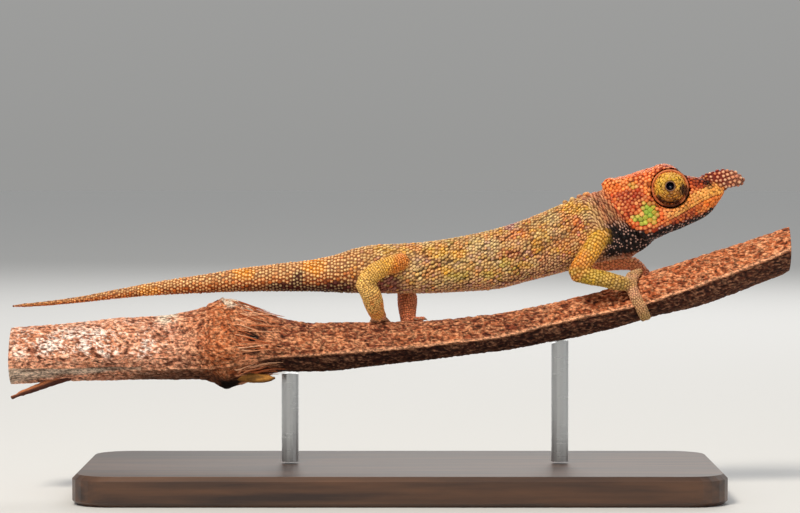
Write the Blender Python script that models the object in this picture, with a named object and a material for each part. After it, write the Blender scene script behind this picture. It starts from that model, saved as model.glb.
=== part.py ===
"""A long-nosed chameleon, life size, walking to the right along a cut length of branch that two
rods hold over a flat base.

The frame is metres with +Z up. The animal faces +X, its right side is towards -Y, and the origin
is the middle of the underside of the base. The tables below are in millimetres, and every solid
is turned to metres when its mesh is made.
"""

import math

import bmesh
import bpy
import numpy as np

MM = 0.001
GAP = 0.3  # what touching neighbours keep between them
SHARP_EDGE = math.radians(50)  # an edge that turns more than this is shaded as an edge

# Body, from the tail's tip to the front of the torso: each row is the place of the back and of
# the belly in side view (x, z, x, z) and half the width there.
TAIL_AND_TORSO = (
    (-52.40, 25.38, -52.40, 25.18, 0.10),
    (-51.30, 25.62, -51.30, 25.14, 0.24),
    (-48.60, 25.96, -48.60, 25.20, 0.38),
    (-43.20, 26.73, -43.20, 25.65, 0.54),
    (-37.80, 27.74, -37.80, 26.26, 0.73),
    (-32.40, 28.75, -32.40, 26.73, 0.98),
    (-27.00, 29.56, -27.00, 27.00, 1.22),
    (-21.60, 30.44, -21.60, 27.20, 1.50),
    (-16.20, 31.12, -16.20, 27.26, 1.76),
    (-10.80, 31.80, -10.80, 27.20, 2.02),
    (-8.10, 32.47, -8.10, 27.09, 2.22),
    (-6.75, 32.95, -6.75, 27.03, 2.36),
    (-4.05, 33.55, -4.05, 27.02, 2.52),
    (0.00, 33.78, 0.00, 26.97, 2.56),
    (4.05, 34.10, 4.05, 26.98, 2.58),
    (8.10, 34.75, 8.10, 27.18, 2.64),
    (13.50, 35.97, 13.50, 27.64, 2.76),
    (17.55, 37.34, 17.55, 28.68, 2.86),
    (21.20, 38.90, 21.90, 29.80, 2.86),
    (23.90, 40.00, 25.60, 30.85, 2.72),
    (26.20, 40.72, 28.60, 31.50, 2.50),
)
TAIL_CUTS = (-36.0, -21.0)
HIP_CUT = -7.4
SHOULDER_ROW = 20

# Neck and throat, on from the torso's front and up under the head, in the same columns.
NECK = (
    (26.20, 40.72, 28.60, 31.50, 2.50),
    (28.40, 41.10, 29.90, 31.62, 2.46),
    (30.30, 40.60, 31.10, 31.82, 2.36),
    (31.90, 39.20, 31.85, 32.35, 2.16),
    (32.60, 37.60, 32.25, 33.05, 1.80),
    (32.90, 36.60, 32.50, 33.45, 1.20),
)

# Head, from the rear edge of the casque to the snout's tip: crown and throat in side view, then
# half the width at the crest that edges the crown, at the cheek, at the lips and at the jaw, and
# how far the section bows backwards between crown and throat.
HEAD = (
    (27.05, 41.75, 32.60, 35.10, 0.80, 2.10, 2.45, 1.90, 0.85),
    (27.70, 42.45, 33.00, 34.00, 1.30, 2.60, 2.85, 2.20, 0.80),
    (29.10, 42.66, 33.90, 34.18, 1.90, 2.95, 3.15, 2.40, 0.60),
    (30.80, 43.08, 34.90, 34.52, 2.25, 3.05, 3.30, 2.50, 0.40),
    (32.40, 43.66, 35.70, 34.90, 2.42, 3.02, 3.35, 2.50, 0.20),
    (33.75, 44.00, 36.50, 35.24, 2.45, 2.86, 3.30, 2.45, 0.10),
    (34.85, 44.45, 37.15, 35.48, 2.38, 2.70, 3.20, 2.36, 0.00),
    (35.80, 44.58, 37.80, 35.72, 2.30, 2.58, 3.06, 2.26, 0.00),
    (36.72, 44.28, 38.45, 36.00, 2.18, 2.48, 2.92, 2.16, 0.00),
    (37.55, 43.68, 39.15, 36.32, 2.00, 2.38, 2.76, 2.02, 0.00),
    (38.35, 43.05, 39.80, 36.62, 1.82, 2.26, 2.58, 1.88, 0.00),
    (39.30, 42.85, 40.50, 36.94, 1.66, 2.12, 2.38, 1.72, 0.00),
    (40.25, 42.70, 41.15, 37.30, 1.54, 1.96, 2.18, 1.56, 0.00),
    (41.20, 42.45, 41.75, 37.75, 1.40, 1.76, 1.94, 1.38, 0.00),
    (42.15, 42.05, 42.30, 38.30, 1.20, 1.50, 1.66, 1.16, 0.00),
    (42.95, 41.50, 42.75, 38.95, 0.94, 1.18, 1.30, 0.90, 0.00),
    (43.55, 41.15, 43.18, 39.60, 0.62, 0.78, 0.86, 0.60, 0.00),
    (43.86, 40.98, 43.55, 40.14, 0.28, 0.34, 0.38, 0.26, 0.00),
)
MOUTH_LINE = ((33.35, 35.45), (34.45, 36.00), (36.20, 36.95), (37.80, 37.85), (39.15, 38.60),
              (40.50, 39.40), (42.25, 40.15), (43.95, 40.62))
MOUTH_CORNER_X = 33.7
MOUTH_DEPTH = 0.34
LIP_HEIGHT = 0.50

# Eyes: a cone of skin, the turret, turns with the eyeball under it and leaves a small opening.
EYE_CENTRE = (36.25, 41.18)
EYE_LOOK = (-0.18, 0.38)  # how far the top of the turret leans off its foot: forwards, up
EYE_OUT = 1.95  # the turret's foot, from the head's middle plane
TURRET_RADIUS = 2.20
TURRET_HEIGHT = 2.45
TURRET_WALL = 0.50
PUPIL_OPENING = 0.56
EYEBALL_RADIUS = 1.28
EYEBALL_LOOK = 0.5  # the eyeball is off the turret's foot by this share of the look
EYEBALL_CLEARANCE = 0.12  # more than the wall's thickness between turret and eyeball
SOCKET_RADIUS = 2.60
SOCKET_RIM = 0.24
SOCKET_RIM_RADIUS = 2.98
NOSTRIL = (41.55, 41.75, 0.30)

# Rostral appendage, the soft flattened lobe on the snout: top and bottom edges and half its
# thickness.
APPENDAGE = (
    (40.60, 42.95, 40.60, 41.10, 0.55),
    (41.60, 43.30, 41.70, 40.90, 0.66),
    (42.60, 43.62, 42.80, 40.85, 0.66),
    (43.50, 43.86, 43.80, 40.92, 0.63),
    (44.55, 43.76, 44.55, 41.20, 0.60),
    (45.20, 43.56, 45.25, 41.38, 0.57),
    (45.80, 43.20, 45.85, 41.52, 0.52),
    (46.20, 42.82, 46.22, 41.70, 0.42),
    (46.42, 42.48, 46.42, 41.98, 0.28),
    (46.50, 42.28, 46.50, 42.15, 0.08),
)
APPENDAGE_BUMP = 0.08

# Limbs: each row is a point of the bone line (x, y, z) and the flesh's half thickness across it.
# The first rows start inside the trunk, and a lower length ends in the middle of its palm.
RIGHT_UPPER_ARM = ((27.0, -1.3, 34.9, 1.10), (26.5, -2.6, 34.2, 1.20), (25.3, -3.5, 32.4, 1.22),
                   (24.2, -3.9, 31.0, 1.16), (23.5, -4.0, 29.95, 1.04))
RIGHT_FOREARM = ((23.6, -4.0, 29.8, 1.04), (25.4, -3.95, 29.45, 1.06), (27.4, -3.7, 29.1, 1.06),
                 (29.0, -3.35, 28.65, 1.02))
LEFT_UPPER_ARM = ((27.0, 1.3, 34.9, 1.00), (26.6, 2.6, 34.0, 1.05), (25.9, 3.4, 32.6, 1.00),
                  (25.4, 3.8, 31.6, 0.98), (25.1, 3.9, 30.9, 0.90))
LEFT_FOREARM = ((25.2, 3.9, 30.75, 0.95), (27.3, 3.8, 30.85, 1.00), (29.6, 3.5, 31.0, 0.96),
                (31.6, 2.9, 30.9, 0.92))
RIGHT_THIGH = ((0.7, -1.8, 31.6, 0.95), (-0.4, -2.7, 31.3, 1.06), (-2.1, -3.3, 30.7, 1.16),
               (-3.6, -3.6, 29.8, 1.22), (-4.6, -3.7, 28.8, 1.16))
RIGHT_SHANK = ((-4.8, -3.7, 28.5, 1.18), (-4.0, -3.2, 27.2, 1.30), (-3.55, -2.3, 25.9, 1.16),
               (-3.25, -1.3, 24.8, 0.98))
LEFT_THIGH = ((0.4, 1.3, 31.6, 0.92), (0.2, 2.5, 31.0, 0.98), (-0.2, 3.3, 30.2, 1.10),
              (-0.4, 3.6, 29.4, 1.14), (-0.4, 3.7, 28.8, 1.10))
LEFT_SHANK = ((0.1, 3.7, 28.5, 1.14), (0.8, 3.4, 27.2, 1.20), (1.0, 2.8, 26.0, 1.20),
              (1.0, 2.1, 25.0, 1.10))
WRIST_SHARE = 0.9  # a leg's half thickness where it ends in the palm, as a share of the palm's

# Feet: where the palm sits on the branch (x, angle from the top towards the right side in
# degrees), and for each bundle of toes the number of toes and the place it reaches.
FEET = {
    "hand_right": ((30.9, 38.0), ((2, 33.0, 136.0), (3, 31.8, -6.0))),
    "hand_left": ((33.2, -36.0), ((2, 31.6, -104.0), (3, 35.4, -62.0))),
    "foot_right": ((-2.9, -6.0), ((3, -1.1, -62.0), (2, -4.6, -70.0))),
    "foot_left": ((1.1, -34.0), ((3, 2.6, -20.0), (2, 0.1, -96.0))),
}
TOE_RADIUS = 0.44
TOE_TAPER = (1.25, 1.2, 1.1, 1.0, 0.92, 0.75)  # shares of the radius from palm to tip
TOE_SPACING = 0.60
TOE_LIFT = 0.60
CLAW_LENGTH = 0.50
CLAW_RADIUS = 0.16
CLAW_TAPER = (1.3, 1.25, 0.8, 0.35)
PALM_RADIUS = 0.92

# Branch: top and bottom of its side view, the middle's place across, and half its depth.
BRANCH = (
    (-52.50, 22.45, 14.65, 0.00, 3.85),
    (-45.90, 22.98, 15.05, 0.05, 3.95),
    (-37.80, 23.69, 15.32, 0.10, 4.05),
    (-29.70, 24.30, 15.36, 0.10, 4.30),
    (-27.00, 24.98, 15.39, 0.05, 4.60),
    (-25.10, 25.90, 14.95, 0.00, 5.20),
    (-23.60, 26.33, 14.24, 0.00, 5.60),
    (-22.10, 26.06, 14.58, 0.00, 5.50),
    (-20.60, 25.40, 15.20, 0.00, 4.95),
    (-17.60, 24.17, 16.27, -0.10, 4.00),
    (-13.50, 23.22, 16.40, -0.20, 3.45),
    (-8.10, 23.22, 16.67, -0.40, 3.20),
    (0.00, 23.22, 17.62, -0.60, 2.90),
    (8.10, 23.76, 18.56, -0.60, 2.70),
    (13.50, 24.37, 19.31, -0.50, 2.60),
    (20.25, 25.72, 20.45, -0.25, 2.65),
    (27.00, 27.34, 21.87, 0.00, 2.80),
    (33.75, 29.90, 23.69, 0.10, 3.00),
    (40.50, 32.06, 25.38, 0.10, 3.15),
    (47.25, 34.22, 27.81, 0.00, 3.00),
    (52.50, 36.11, 29.97, 0.00, 2.80),
)
BRANCH_SQUARENESS = 1.62  # 2 is an ellipse, and less gives four blunt edges
BRANCH_EDGE_DROP = 0.13  # the side edges sit this share of the half height below the middle
BUD_STUB = ((-21.8, -2.2, 16.2, 0.75), (-19.5, -2.5, 15.75, 0.62), (-17.6, -2.6, 15.7, 0.42),
            (-16.9, -2.6, 15.75, 0.16))
BARK_FLAP = ((-44.5, -1.2, 15.9, 0.50), (-48.0, -1.6, 14.7, 0.42), (-50.6, -1.8, 13.75, 0.34),
             (-52.2, -1.9, 13.1, 0.20))

# Crest of low cones along the nape.
NAPE_XS = (22.3, 23.3, 24.25, 25.15)
NAPE_HEIGHT = 0.26
NAPE_RADIUS = 0.32
NAPE_LEAN = 0.12

# Stand.
BASE_LENGTH = 86.0
BASE_DEPTH = 36.0
BASE_THICKNESS = 4.0
BASE_CORNER = 5.0
BASE_BEVEL = 0.6
ROD_RADIUS = 1.15
ROD_XS = (-14.85, 21.60)


def clear_scene():
    for old in list(bpy.data.objects):
        bpy.data.objects.remove(old, do_unlink=True)


def finish_of(name, colour, roughness, metallic=0.0):
    material = bpy.data.materials.new(name)
    material.use_nodes = True
    shader = material.node_tree.nodes["Principled BSDF"]
    shader.inputs["Base Color"].default_value = (*colour, 1.0)
    shader.inputs["Roughness"].default_value = roughness
    shader.inputs["Metallic"].default_value = metallic
    return material


def smooth_rows(rows, along, places):
    """Rows of numbers on a smooth curve through the given rows. Each column is a cubic between
    neighbours, with the slope of the chord across each row as the slope there."""
    rows = np.asarray(rows, float)
    slope = np.gradient(rows, along, axis=0)
    at = np.clip(np.searchsorted(along, places, side="right") - 1, 0, len(along) - 2)
    span = (along[at + 1] - along[at])[:, None]
    t = (places - along[at])[:, None] / span
    return ((2 * t**3 - 3 * t**2 + 1) * rows[at] + (t**3 - 2 * t**2 + t) * span * slope[at]
            + (3 * t**2 - 2 * t**3) * rows[at + 1] + (t**3 - t**2) * span * slope[at + 1])


def travelled(points):
    """The distance along a run of points, from its first."""
    steps = np.linalg.norm(np.diff(points, axis=0), axis=1)
    return np.concatenate([[0.0], np.cumsum(steps)])


def solid(name, points, faces, material):
    """One closed mesh object from points in millimetres, its faces turned outwards."""
    mesh = bpy.data.meshes.new(name)
    mesh.from_pydata((np.asarray(points) * MM).tolist(), [], faces)
    shell = bmesh.new()
    shell.from_mesh(mesh)
    bmesh.ops.recalc_face_normals(shell, faces=shell.faces)
    if shell.calc_volume(signed=True) < 0:
        bmesh.ops.reverse_faces(shell, faces=shell.faces)
    shell.to_mesh(mesh)
    shell.free()
    mesh.materials.append(material)
    mesh.shade_smooth()
    mesh.set_sharp_from_angle(angle=SHARP_EDGE)
    piece = bpy.data.objects.new(name, mesh)
    bpy.context.scene.collection.objects.link(piece)
    return piece


def skinned(name, rings, material):
    """A closed tube through rings of points, with a fan of triangles over each end."""
    count, sides = rings.shape[:2]
    ring = np.arange(sides)
    after = (ring + 1) % sides
    faces = []
    for i in range(count - 1):
        faces += np.stack([i * sides + ring, i * sides + after,
                           (i + 1) * sides + after, (i + 1) * sides + ring], axis=1).tolist()
    first, last = count * sides, count * sides + 1
    far = (count - 1) * sides
    faces += [[first, j, i] for i, j in zip(ring.tolist(), after.tolist())]
    faces += [[last, far + i, far + j] for i, j in zip(ring.tolist(), after.tolist())]
    middles = rings[[0, -1]].mean(axis=1)
    return solid(name, np.concatenate([rings.reshape(-1, 3), middles]), faces, material)


def body_rings(rows, sides, egg=0.10):
    """Ovals between a back and a belly point, wider below the middle than above it by egg."""
    rows = np.asarray(rows, float)
    turn = np.linspace(0, 2 * np.pi, sides, endpoint=False)
    share = (1 - np.sin(turn)) / 2
    top = rows[:, None, 0:2]
    bottom = rows[:, None, 2:4]
    side_view = top + (bottom - top) * share[None, :, None]
    across = rows[:, None, 4] * (np.cos(turn) * (1 - egg * np.sin(turn)))[None, :]
    return np.stack([side_view[..., 0], across, side_view[..., 1]], axis=-1)


def spaced_rows(table, start, end, count):
    """Body rows at even steps of the back's x between start and end."""
    table = np.asarray(table, float)
    return smooth_rows(table, table[:, 0], np.linspace(start, end, count))


def limb_rings(path, count, sides, blunt=(0.0, 0.0)):
    """Circles square to a curved path, their radius taken from the path's fourth column, and
    narrowed over the last ring at an end by its blunt share."""
    path = np.asarray(path, float)
    along = travelled(path[:, :3])
    rows = smooth_rows(path, along, np.linspace(0, along[-1], count))
    centre, radius = rows[:, :3], rows[:, 3]
    ahead = np.gradient(centre, axis=0)
    ahead /= np.linalg.norm(ahead, axis=1)[:, None]
    side = np.cross(ahead, (0.0, 0.31, 0.95))
    side /= np.linalg.norm(side, axis=1)[:, None]
    up = np.cross(side, ahead)
    turn = np.linspace(0, 2 * np.pi, sides, endpoint=False)
    rings = (centre[:, None] + radius[:, None, None] * np.cos(turn)[None, :, None] * side[:, None]
             + radius[:, None, None] * np.sin(turn)[None, :, None] * up[:, None])
    caps = []
    for end, sign, share in ((0, -1, blunt[0]), (-1, 1, blunt[1])):
        cap = centre[end] + (rings[end] - centre[end]) * (1 - share)
        caps.append((cap + sign * ahead[end] * radius[end] * share)[None])
    if blunt[0]:
        rings = np.concatenate([caps[0], rings])
    if blunt[1]:
        rings = np.concatenate([rings, caps[1]])
    return rings


def swollen(piece, by):
    """A helper copy of a piece, pushed out along its surface by a distance in millimetres."""
    mesh = piece.data.copy()
    for vertex in mesh.vertices:
        vertex.co = vertex.co + vertex.normal * (by * MM)
    grown = bpy.data.objects.new(piece.name + "_swollen", mesh)
    bpy.context.scene.collection.objects.link(grown)
    grown.hide_render = True
    grown.display_type = "WIRE"
    return grown


def largest_body(mesh):
    """Keeps only the closed surface with the greatest volume."""
    shell = bmesh.new()
    shell.from_mesh(mesh)
    shell.faces.ensure_lookup_table()
    left = set(shell.faces)
    bodies = []
    while left:
        first = left.pop()
        body = {first}
        edge = [first]
        while edge:
            for side in edge.pop().edges:
                for face in side.link_faces:
                    if face in left:
                        left.remove(face)
                        body.add(face)
                        edge.append(face)
        bodies.append(body)
    if len(bodies) > 1:
        def volume(body):
            total = 0.0
            for face in body:
                corners = [v.co for v in face.verts]
                for a, b in zip(corners[1:-1], corners[2:]):
                    total += corners[0].dot(a.cross(b)) / 6
            return abs(total)
        kept = max(bodies, key=volume)
        spare = [face for face in shell.faces if face not in kept]
        bmesh.ops.delete(shell, geom=spare, context="FACES")
        loose = [v for v in shell.verts if not v.link_faces]
        bmesh.ops.delete(shell, geom=loose, context="VERTS")
    shell.to_mesh(mesh)
    shell.free()


def combined(piece, others, operation, solver="EXACT"):
    """Applies one Boolean of a piece with several helpers, removes them, and keeps one body."""
    helpers = bpy.data.collections.new(piece.name + "_helpers")
    for other in others:
        helpers.objects.link(other)
    step = piece.modifiers.new("fit", "BOOLEAN")
    step.operation = operation
    step.operand_type = "COLLECTION"
    step.collection = helpers
    step.solver = solver
    bpy.context.view_layer.update()
    graph = bpy.context.evaluated_depsgraph_get()
    result = bpy.data.meshes.new_from_object(piece.evaluated_get(graph))
    piece.modifiers.clear()
    piece.data = result
    for other in others:
        bpy.data.objects.remove(other, do_unlink=True)
    bpy.data.collections.remove(helpers)
    largest_body(result)
    result.shade_smooth()
    result.set_sharp_from_angle(angle=SHARP_EDGE)


def trim(piece, neighbours):
    """Cuts a piece back so that it meets its neighbours face to face with the usual gap. Swollen
    neighbours that cross one another take the manifold solver."""
    solver = "MANIFOLD" if len(neighbours) > 1 else "EXACT"
    combined(piece, [swollen(other, GAP) for other in neighbours], "DIFFERENCE", solver)


def fitted_on(piece, helpers):
    """Cuts a piece back with helpers that are swollen already and that cross one another."""
    combined(piece, helpers, "DIFFERENCE", "MANIFOLD")


def mouth_share(crown, throat):
    """Where the line from crown to throat crosses the line of the mouth, as a share of it."""
    line = np.asarray(MOUTH_LINE)
    share = np.linspace(0, 1, 241)
    point = crown + (throat - crown) * share[:, None]
    above = point[:, 1] - np.interp(point[:, 0], line[:, 0], line[:, 1])
    return share[np.argmin(np.abs(above))]


def head_rings(groove, grow=0.0):
    """Sections of the head from casque to snout. Each goes from the crown over the crest, temple
    and cheek, round the upper lip, in at the mouth, out round the lower lip and jaw to the
    throat, and back up the left side. grow makes the head larger all round."""
    table = np.asarray(HEAD, float)
    along = travelled((table[:, 0:2] + table[:, 2:4]) / 2)
    fine = np.sort(np.concatenate([along, (along[1:] + along[:-1]) / 2]))
    rings = []
    for row in smooth_rows(table, along, fine):
        crown, throat = row[0:2], row[2:4]
        crest, cheek, lip, jaw, bow = row[4:9]
        length = np.linalg.norm(throat - crown)
        down = (throat - crown) / length
        mouth = np.clip(mouth_share(crown, throat), 0.2, 0.8)
        crown, throat, length = crown - down * grow, throat + down * grow, length + 2 * grow
        crest, cheek, lip, jaw = crest + grow, cheek + grow, lip + grow, jaw + grow
        lip_share = min(LIP_HEIGHT / length, 0.3 * mouth, 0.3 * (1 - mouth))
        above, below = mouth - lip_share, mouth + lip_share
        open_here = np.clip((crown[0] + throat[0] - 2 * MOUTH_CORNER_X) / 2.4, 0, 1)
        cut = groove * open_here * min(1.0, lip / 1.6)
        keys = np.array([
            (0.00, 0.00), (0.02 * above, 0.52 * crest), (0.08 * above, 0.90 * crest),
            (0.18 * above, crest), (0.38 * above, 0.45 * crest + 0.55 * cheek),
            (0.64 * above, cheek), (0.84 * above, 0.5 * (cheek + lip)), (above, lip),
            (mouth - 0.35 * lip_share, lip - 0.3 * cut), (mouth, lip - cut),
            (mouth + 0.35 * lip_share, 0.97 * lip - 0.3 * cut), (below, 0.96 * lip),
            (below + 0.45 * (1 - below), 0.5 * (lip + jaw)),
            (below + 0.88 * (1 - below), 0.72 * jaw), (1.0, 0.0),
        ])
        share = np.concatenate([keys[:, 0], keys[-2:0:-1, 0]])
        across = np.concatenate([-keys[:, 1], keys[-2:0:-1, 1]])
        side_view = crown + (throat - crown) * share[:, None]
        back = np.array([down[1], -down[0]])
        side_view = side_view + back * (bow * np.sin(np.pi * share))[:, None]
        rings.append(np.stack([side_view[:, 0], across, side_view[:, 1]], axis=-1))
    if grow:
        rear = np.array(HEAD[0][2:4]) - HEAD[0][0:2]
        rear /= np.linalg.norm(rear)
        rings.insert(0, rings[0] + np.array([rear[1], 0.0, -rear[0]]) * (1.5 * grow))
        rings.append(rings[-1] + (grow, 0.0, 0.0))
    rings = np.array(rings)
    away = np.hypot(rings[..., 0] - EYE_CENTRE[0], rings[..., 2] - EYE_CENTRE[1])
    rim = SOCKET_RIM * np.exp(-((away - SOCKET_RIM_RADIUS) / 0.45) ** 2)
    rings[..., 1] += np.sign(rings[..., 1]) * rim * np.clip(np.abs(rings[..., 1]) - 1.2, 0, 1)
    return rings


def turned(name, profile, centre, side, sides, material, look=(0.0, 0.0)):
    """A profile of (radius, height) turned round the axis that points out to one side of the
    head, with each height moved by its share of the look. A closed profile gives a ring, and one
    that starts and ends at radius 0 a solid."""
    turn = np.linspace(0, 2 * np.pi, sides, endpoint=False)
    points, faces, rows = [], [], []
    for radius, height in profile:
        y = side * (EYE_OUT + height)
        share = max(0.0, height / TURRET_HEIGHT)
        x, z = (middle + lean * share for middle, lean in zip(centre, look))
        if radius < 1e-6:
            rows.append([len(points)] * sides)
            points.append((x, y, z))
        else:
            rows.append(list(range(len(points), len(points) + sides)))
            points += [(x + radius * math.cos(t), y, z + radius * math.sin(t)) for t in turn]
    ring_shape = profile[0][0] > 1e-6
    pairs = list(zip(rows, rows[1:] + rows[:1])) if ring_shape else list(zip(rows, rows[1:]))
    for low, high in pairs:
        for i in range(sides):
            j = (i + 1) % sides
            corners = []
            for corner in (low[i], low[j], high[j], high[i]):
                if corner not in corners:
                    corners.append(corner)
            faces.append(corners)
    return solid(name, points, faces, material)


def make_eye(side_name, side, lid_skin, horn):
    """The turret, a ring of skin from its foot up over the eye to the opening, and the eyeball."""
    outer = [(TURRET_RADIUS * math.cos(a) ** 0.8, TURRET_HEIGHT * math.sin(a) ** 1.05)
             for a in np.radians((3, 20, 37, 53, 66))]
    rim_height = TURRET_HEIGHT * 0.985
    mouth = [(PUPIL_OPENING + 0.16, rim_height), (PUPIL_OPENING, rim_height - 0.10),
             (PUPIL_OPENING + 0.06, rim_height - 0.42)]
    inner = [((TURRET_RADIUS - TURRET_WALL) * math.cos(a) ** 0.8,
              (TURRET_HEIGHT - TURRET_WALL) * math.sin(a) ** 1.05)
             for a in np.radians((58, 32, 4))]
    turned("eyelid_" + side_name, outer + mouth + inner, EYE_CENTRE, side, 20, lid_skin, EYE_LOOK)
    middle = TURRET_HEIGHT - TURRET_WALL - EYEBALL_CLEARANCE - EYEBALL_RADIUS
    ball = [(EYEBALL_RADIUS * math.sin(a), middle - EYEBALL_RADIUS * math.cos(a))
            for a in np.linspace(0, math.pi, 8)]
    ball[0] = (0.0, ball[0][1])
    ball[-1] = (0.0, ball[-1][1])
    centre = [foot + EYEBALL_LOOK * lean for foot, lean in zip(EYE_CENTRE, EYE_LOOK)]
    turned("eyeball_" + side_name, ball, centre, side, 12, horn)


def socket_cutter(side):
    """The hollow that the turret stands in, and the pocket behind the eyeball."""
    profile = [(0.0, -0.75), (1.20, -0.60), (SOCKET_RADIUS - 0.25, -0.30), (SOCKET_RADIUS, 0.30),
               (SOCKET_RADIUS + 0.15, 2.6), (0.0, 2.6)]
    return turned("socket", profile, EYE_CENTRE, side, 20, bpy.data.materials["head skin"])


def nostril_cutter(side):
    x, z, radius = NOSTRIL
    centre = ((x, side * 0.75, z, radius * 0.7), (x + 0.05, side * 1.4, z + 0.05, radius),
              (x + 0.1, side * 2.4, z + 0.1, radius * 1.6))
    return skinned("nostril", limb_rings(centre, 4, 8), bpy.data.materials["head skin"])


def branch_row(x):
    table = np.asarray(BRANCH, float)
    return smooth_rows(table, table[:, 0], np.atleast_1d(np.asarray(x, float)))


def branch_point(x, angle, lift=0.0):
    """A point over the branch's surface: angle is measured round it from the top towards the
    animal's right side, and lift is the height over the bark."""
    row = branch_row(x)
    middle = (row[:, 1] + row[:, 2]) / 2
    half_height = (row[:, 1] - row[:, 2]) / 2 + lift
    half_depth = row[:, 4] + lift
    turn = np.radians(np.atleast_1d(angle))
    power = 2 / BRANCH_SQUARENESS
    up = np.sign(np.cos(turn)) * np.abs(np.cos(turn)) ** power
    out = np.sign(np.sin(turn)) * np.abs(np.sin(turn)) ** power
    drop = BRANCH_EDGE_DROP * half_height * np.abs(out)
    return np.stack([row[:, 0], row[:, 3] - half_depth * out, middle + half_height * up - drop],
                    axis=-1)


def make_branch(bark):
    xs = np.unique(np.concatenate([np.linspace(-52.5, -28.0, 10), np.linspace(-28.0, -17.0, 13),
                                   np.linspace(-17.0, 52.5, 28)]))
    angles = np.linspace(0, 360, 18, endpoint=False)
    rings = np.array([branch_point(np.full(len(angles), x), angles) for x in xs])
    perch = skinned("perch", rings, bark)
    spurs = [skinned("spur", limb_rings(path, 6, 8, blunt=(0.0, 0.5)), bark)
             for path in (BUD_STUB, BARK_FLAP)]
    combined(perch, spurs, "UNION")
    return perch


def palm_middle(place):
    return branch_point(*place, PALM_RADIUS * 0.95)[0]


def make_foot(name, palm_place, bundles, skin):
    """A palm on the branch and two bundles of toes that lie round it, each toe with its claw.
    The toes cross one another, so the manifold solver joins them. It also gives swollen copies
    of palm and toes, for the leg that ends on them."""
    x, angle = palm_place
    palm_centre = palm_middle(palm_place)
    toes = []
    for count, end_x, end_angle in bundles:
        for i in range(count):
            shift = (i - (count - 1) / 2) * TOE_SPACING
            share = np.linspace(0, 1, 6)
            lift = TOE_LIFT + (PALM_RADIUS * 0.8 - TOE_LIFT) * (1 - share) ** 2
            way = np.array([branch_point(x + (end_x - x) * s + shift * (0.35 + 0.65 * s),
                                         angle + (end_angle - angle) * s, h)[0]
                            for s, h in zip(share, lift)])
            toe = np.column_stack([way, TOE_RADIUS * np.array(TOE_TAPER)])
            toes.append(skinned("toe", limb_rings(toe, 6, 6, blunt=(0.0, 0.45)), skin))
            back = branch_point(x + (end_x - x) * 0.93 + shift * 0.97,
                                angle + (end_angle - angle) * 0.93, TOE_LIFT)[0]
            ahead = way[-1] - back
            ahead = ahead / np.linalg.norm(ahead)
            tip = branch_point(end_x + shift, end_angle, GAP)[0] + ahead * CLAW_LENGTH
            line = np.array([back, way[-1], 0.4 * way[-1] + 0.6 * tip, tip])
            claw = np.column_stack([line, CLAW_RADIUS * np.array(CLAW_TAPER)])
            toes.append(skinned("claw", limb_rings(claw, 4, 5), skin))
    turn = np.linspace(-0.85, 0.85, 5)
    spine = np.column_stack([palm_centre[0] + turn * PALM_RADIUS, np.full(5, palm_centre[1]),
                             np.full(5, palm_centre[2]), PALM_RADIUS * np.sqrt(1 - turn**2)])
    foot = skinned(name, limb_rings(spine, 7, 12, blunt=(0.5, 0.5)), skin)
    round_leg = [swollen(piece, GAP) for piece in (foot, *toes)]
    combined(foot, toes, "UNION", "MANIFOLD")
    return foot, round_leg


def make_stand(wood, steel, perch):
    corner = []
    for sx, sy, start in ((1, 1, 0), (-1, 1, 90), (-1, -1, 180), (1, -1, 270)):
        for a in np.radians(start + np.linspace(0, 90, 7)):
            corner.append((sx * (BASE_LENGTH / 2 - BASE_CORNER) + BASE_CORNER * math.cos(a),
                           sy * (BASE_DEPTH / 2 - BASE_CORNER) + BASE_CORNER * math.sin(a)))
    corner = np.array(corner)
    inward = corner - corner / np.abs(corner).max(axis=0) * BASE_BEVEL
    levels = ((inward, 0.0), (corner, BASE_BEVEL), (corner, BASE_THICKNESS - BASE_BEVEL),
              (inward, BASE_THICKNESS))
    rings = np.array([np.column_stack([outline, np.full(len(outline), z)])
                      for outline, z in levels])
    skinned("stand_base", rings, wood)
    for number, x in enumerate(ROD_XS, start=1):
        turn = np.linspace(0, 2 * np.pi, 16, endpoint=False)
        ring = np.column_stack([x + ROD_RADIUS * np.cos(turn),
                                branch_row(x)[0, 3] + ROD_RADIUS * np.sin(turn)])
        heights = (BASE_THICKNESS + GAP, (branch_row(x)[0, 1] + branch_row(x)[0, 2]) / 2)
        rings = np.array([np.column_stack([ring, np.full(len(ring), z)]) for z in heights])
        rod = skinned(f"stand_rod_{number}", rings, steel)
        trim(rod, [perch])


def make_head(skin):
    """The head with its sockets and nostrils, and a larger plain one that neighbours are cut by."""
    rings = head_rings(MOUTH_DEPTH)
    head = skinned("head", rings, skin)
    cutters = [make(side) for side in (-1, 1) for make in (socket_cutter, nostril_cutter)]
    combined(head, cutters, "DIFFERENCE")
    plain = skinned("plain_head", head_rings(0.0, GAP), skin)
    plain.hide_render = True
    plain.display_type = "WIRE"
    return plain


def nape_cones(skin):
    """Low cones along the middle of the nape, their roots sunk in the torso."""
    table = np.asarray(TAIL_AND_TORSO, float)
    cones = []
    for x in NAPE_XS:
        root = smooth_rows(table, table[:, 0], np.array([x]))[0, 1] - NAPE_RADIUS
        turn = np.linspace(0, 2 * np.pi, 6, endpoint=False)
        rings = [np.column_stack([x - lean + size * np.cos(turn), size * np.sin(turn),
                                  np.full(6, root + height)])
                 for size, height, lean in ((NAPE_RADIUS * 1.2, 0.0, 0.0),
                                            (NAPE_RADIUS, NAPE_RADIUS, 0.0),
                                            (0.1, NAPE_RADIUS + NAPE_HEIGHT, NAPE_LEAN))]
        cones.append(skinned("cone", np.array(rings), skin))
    return cones


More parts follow.
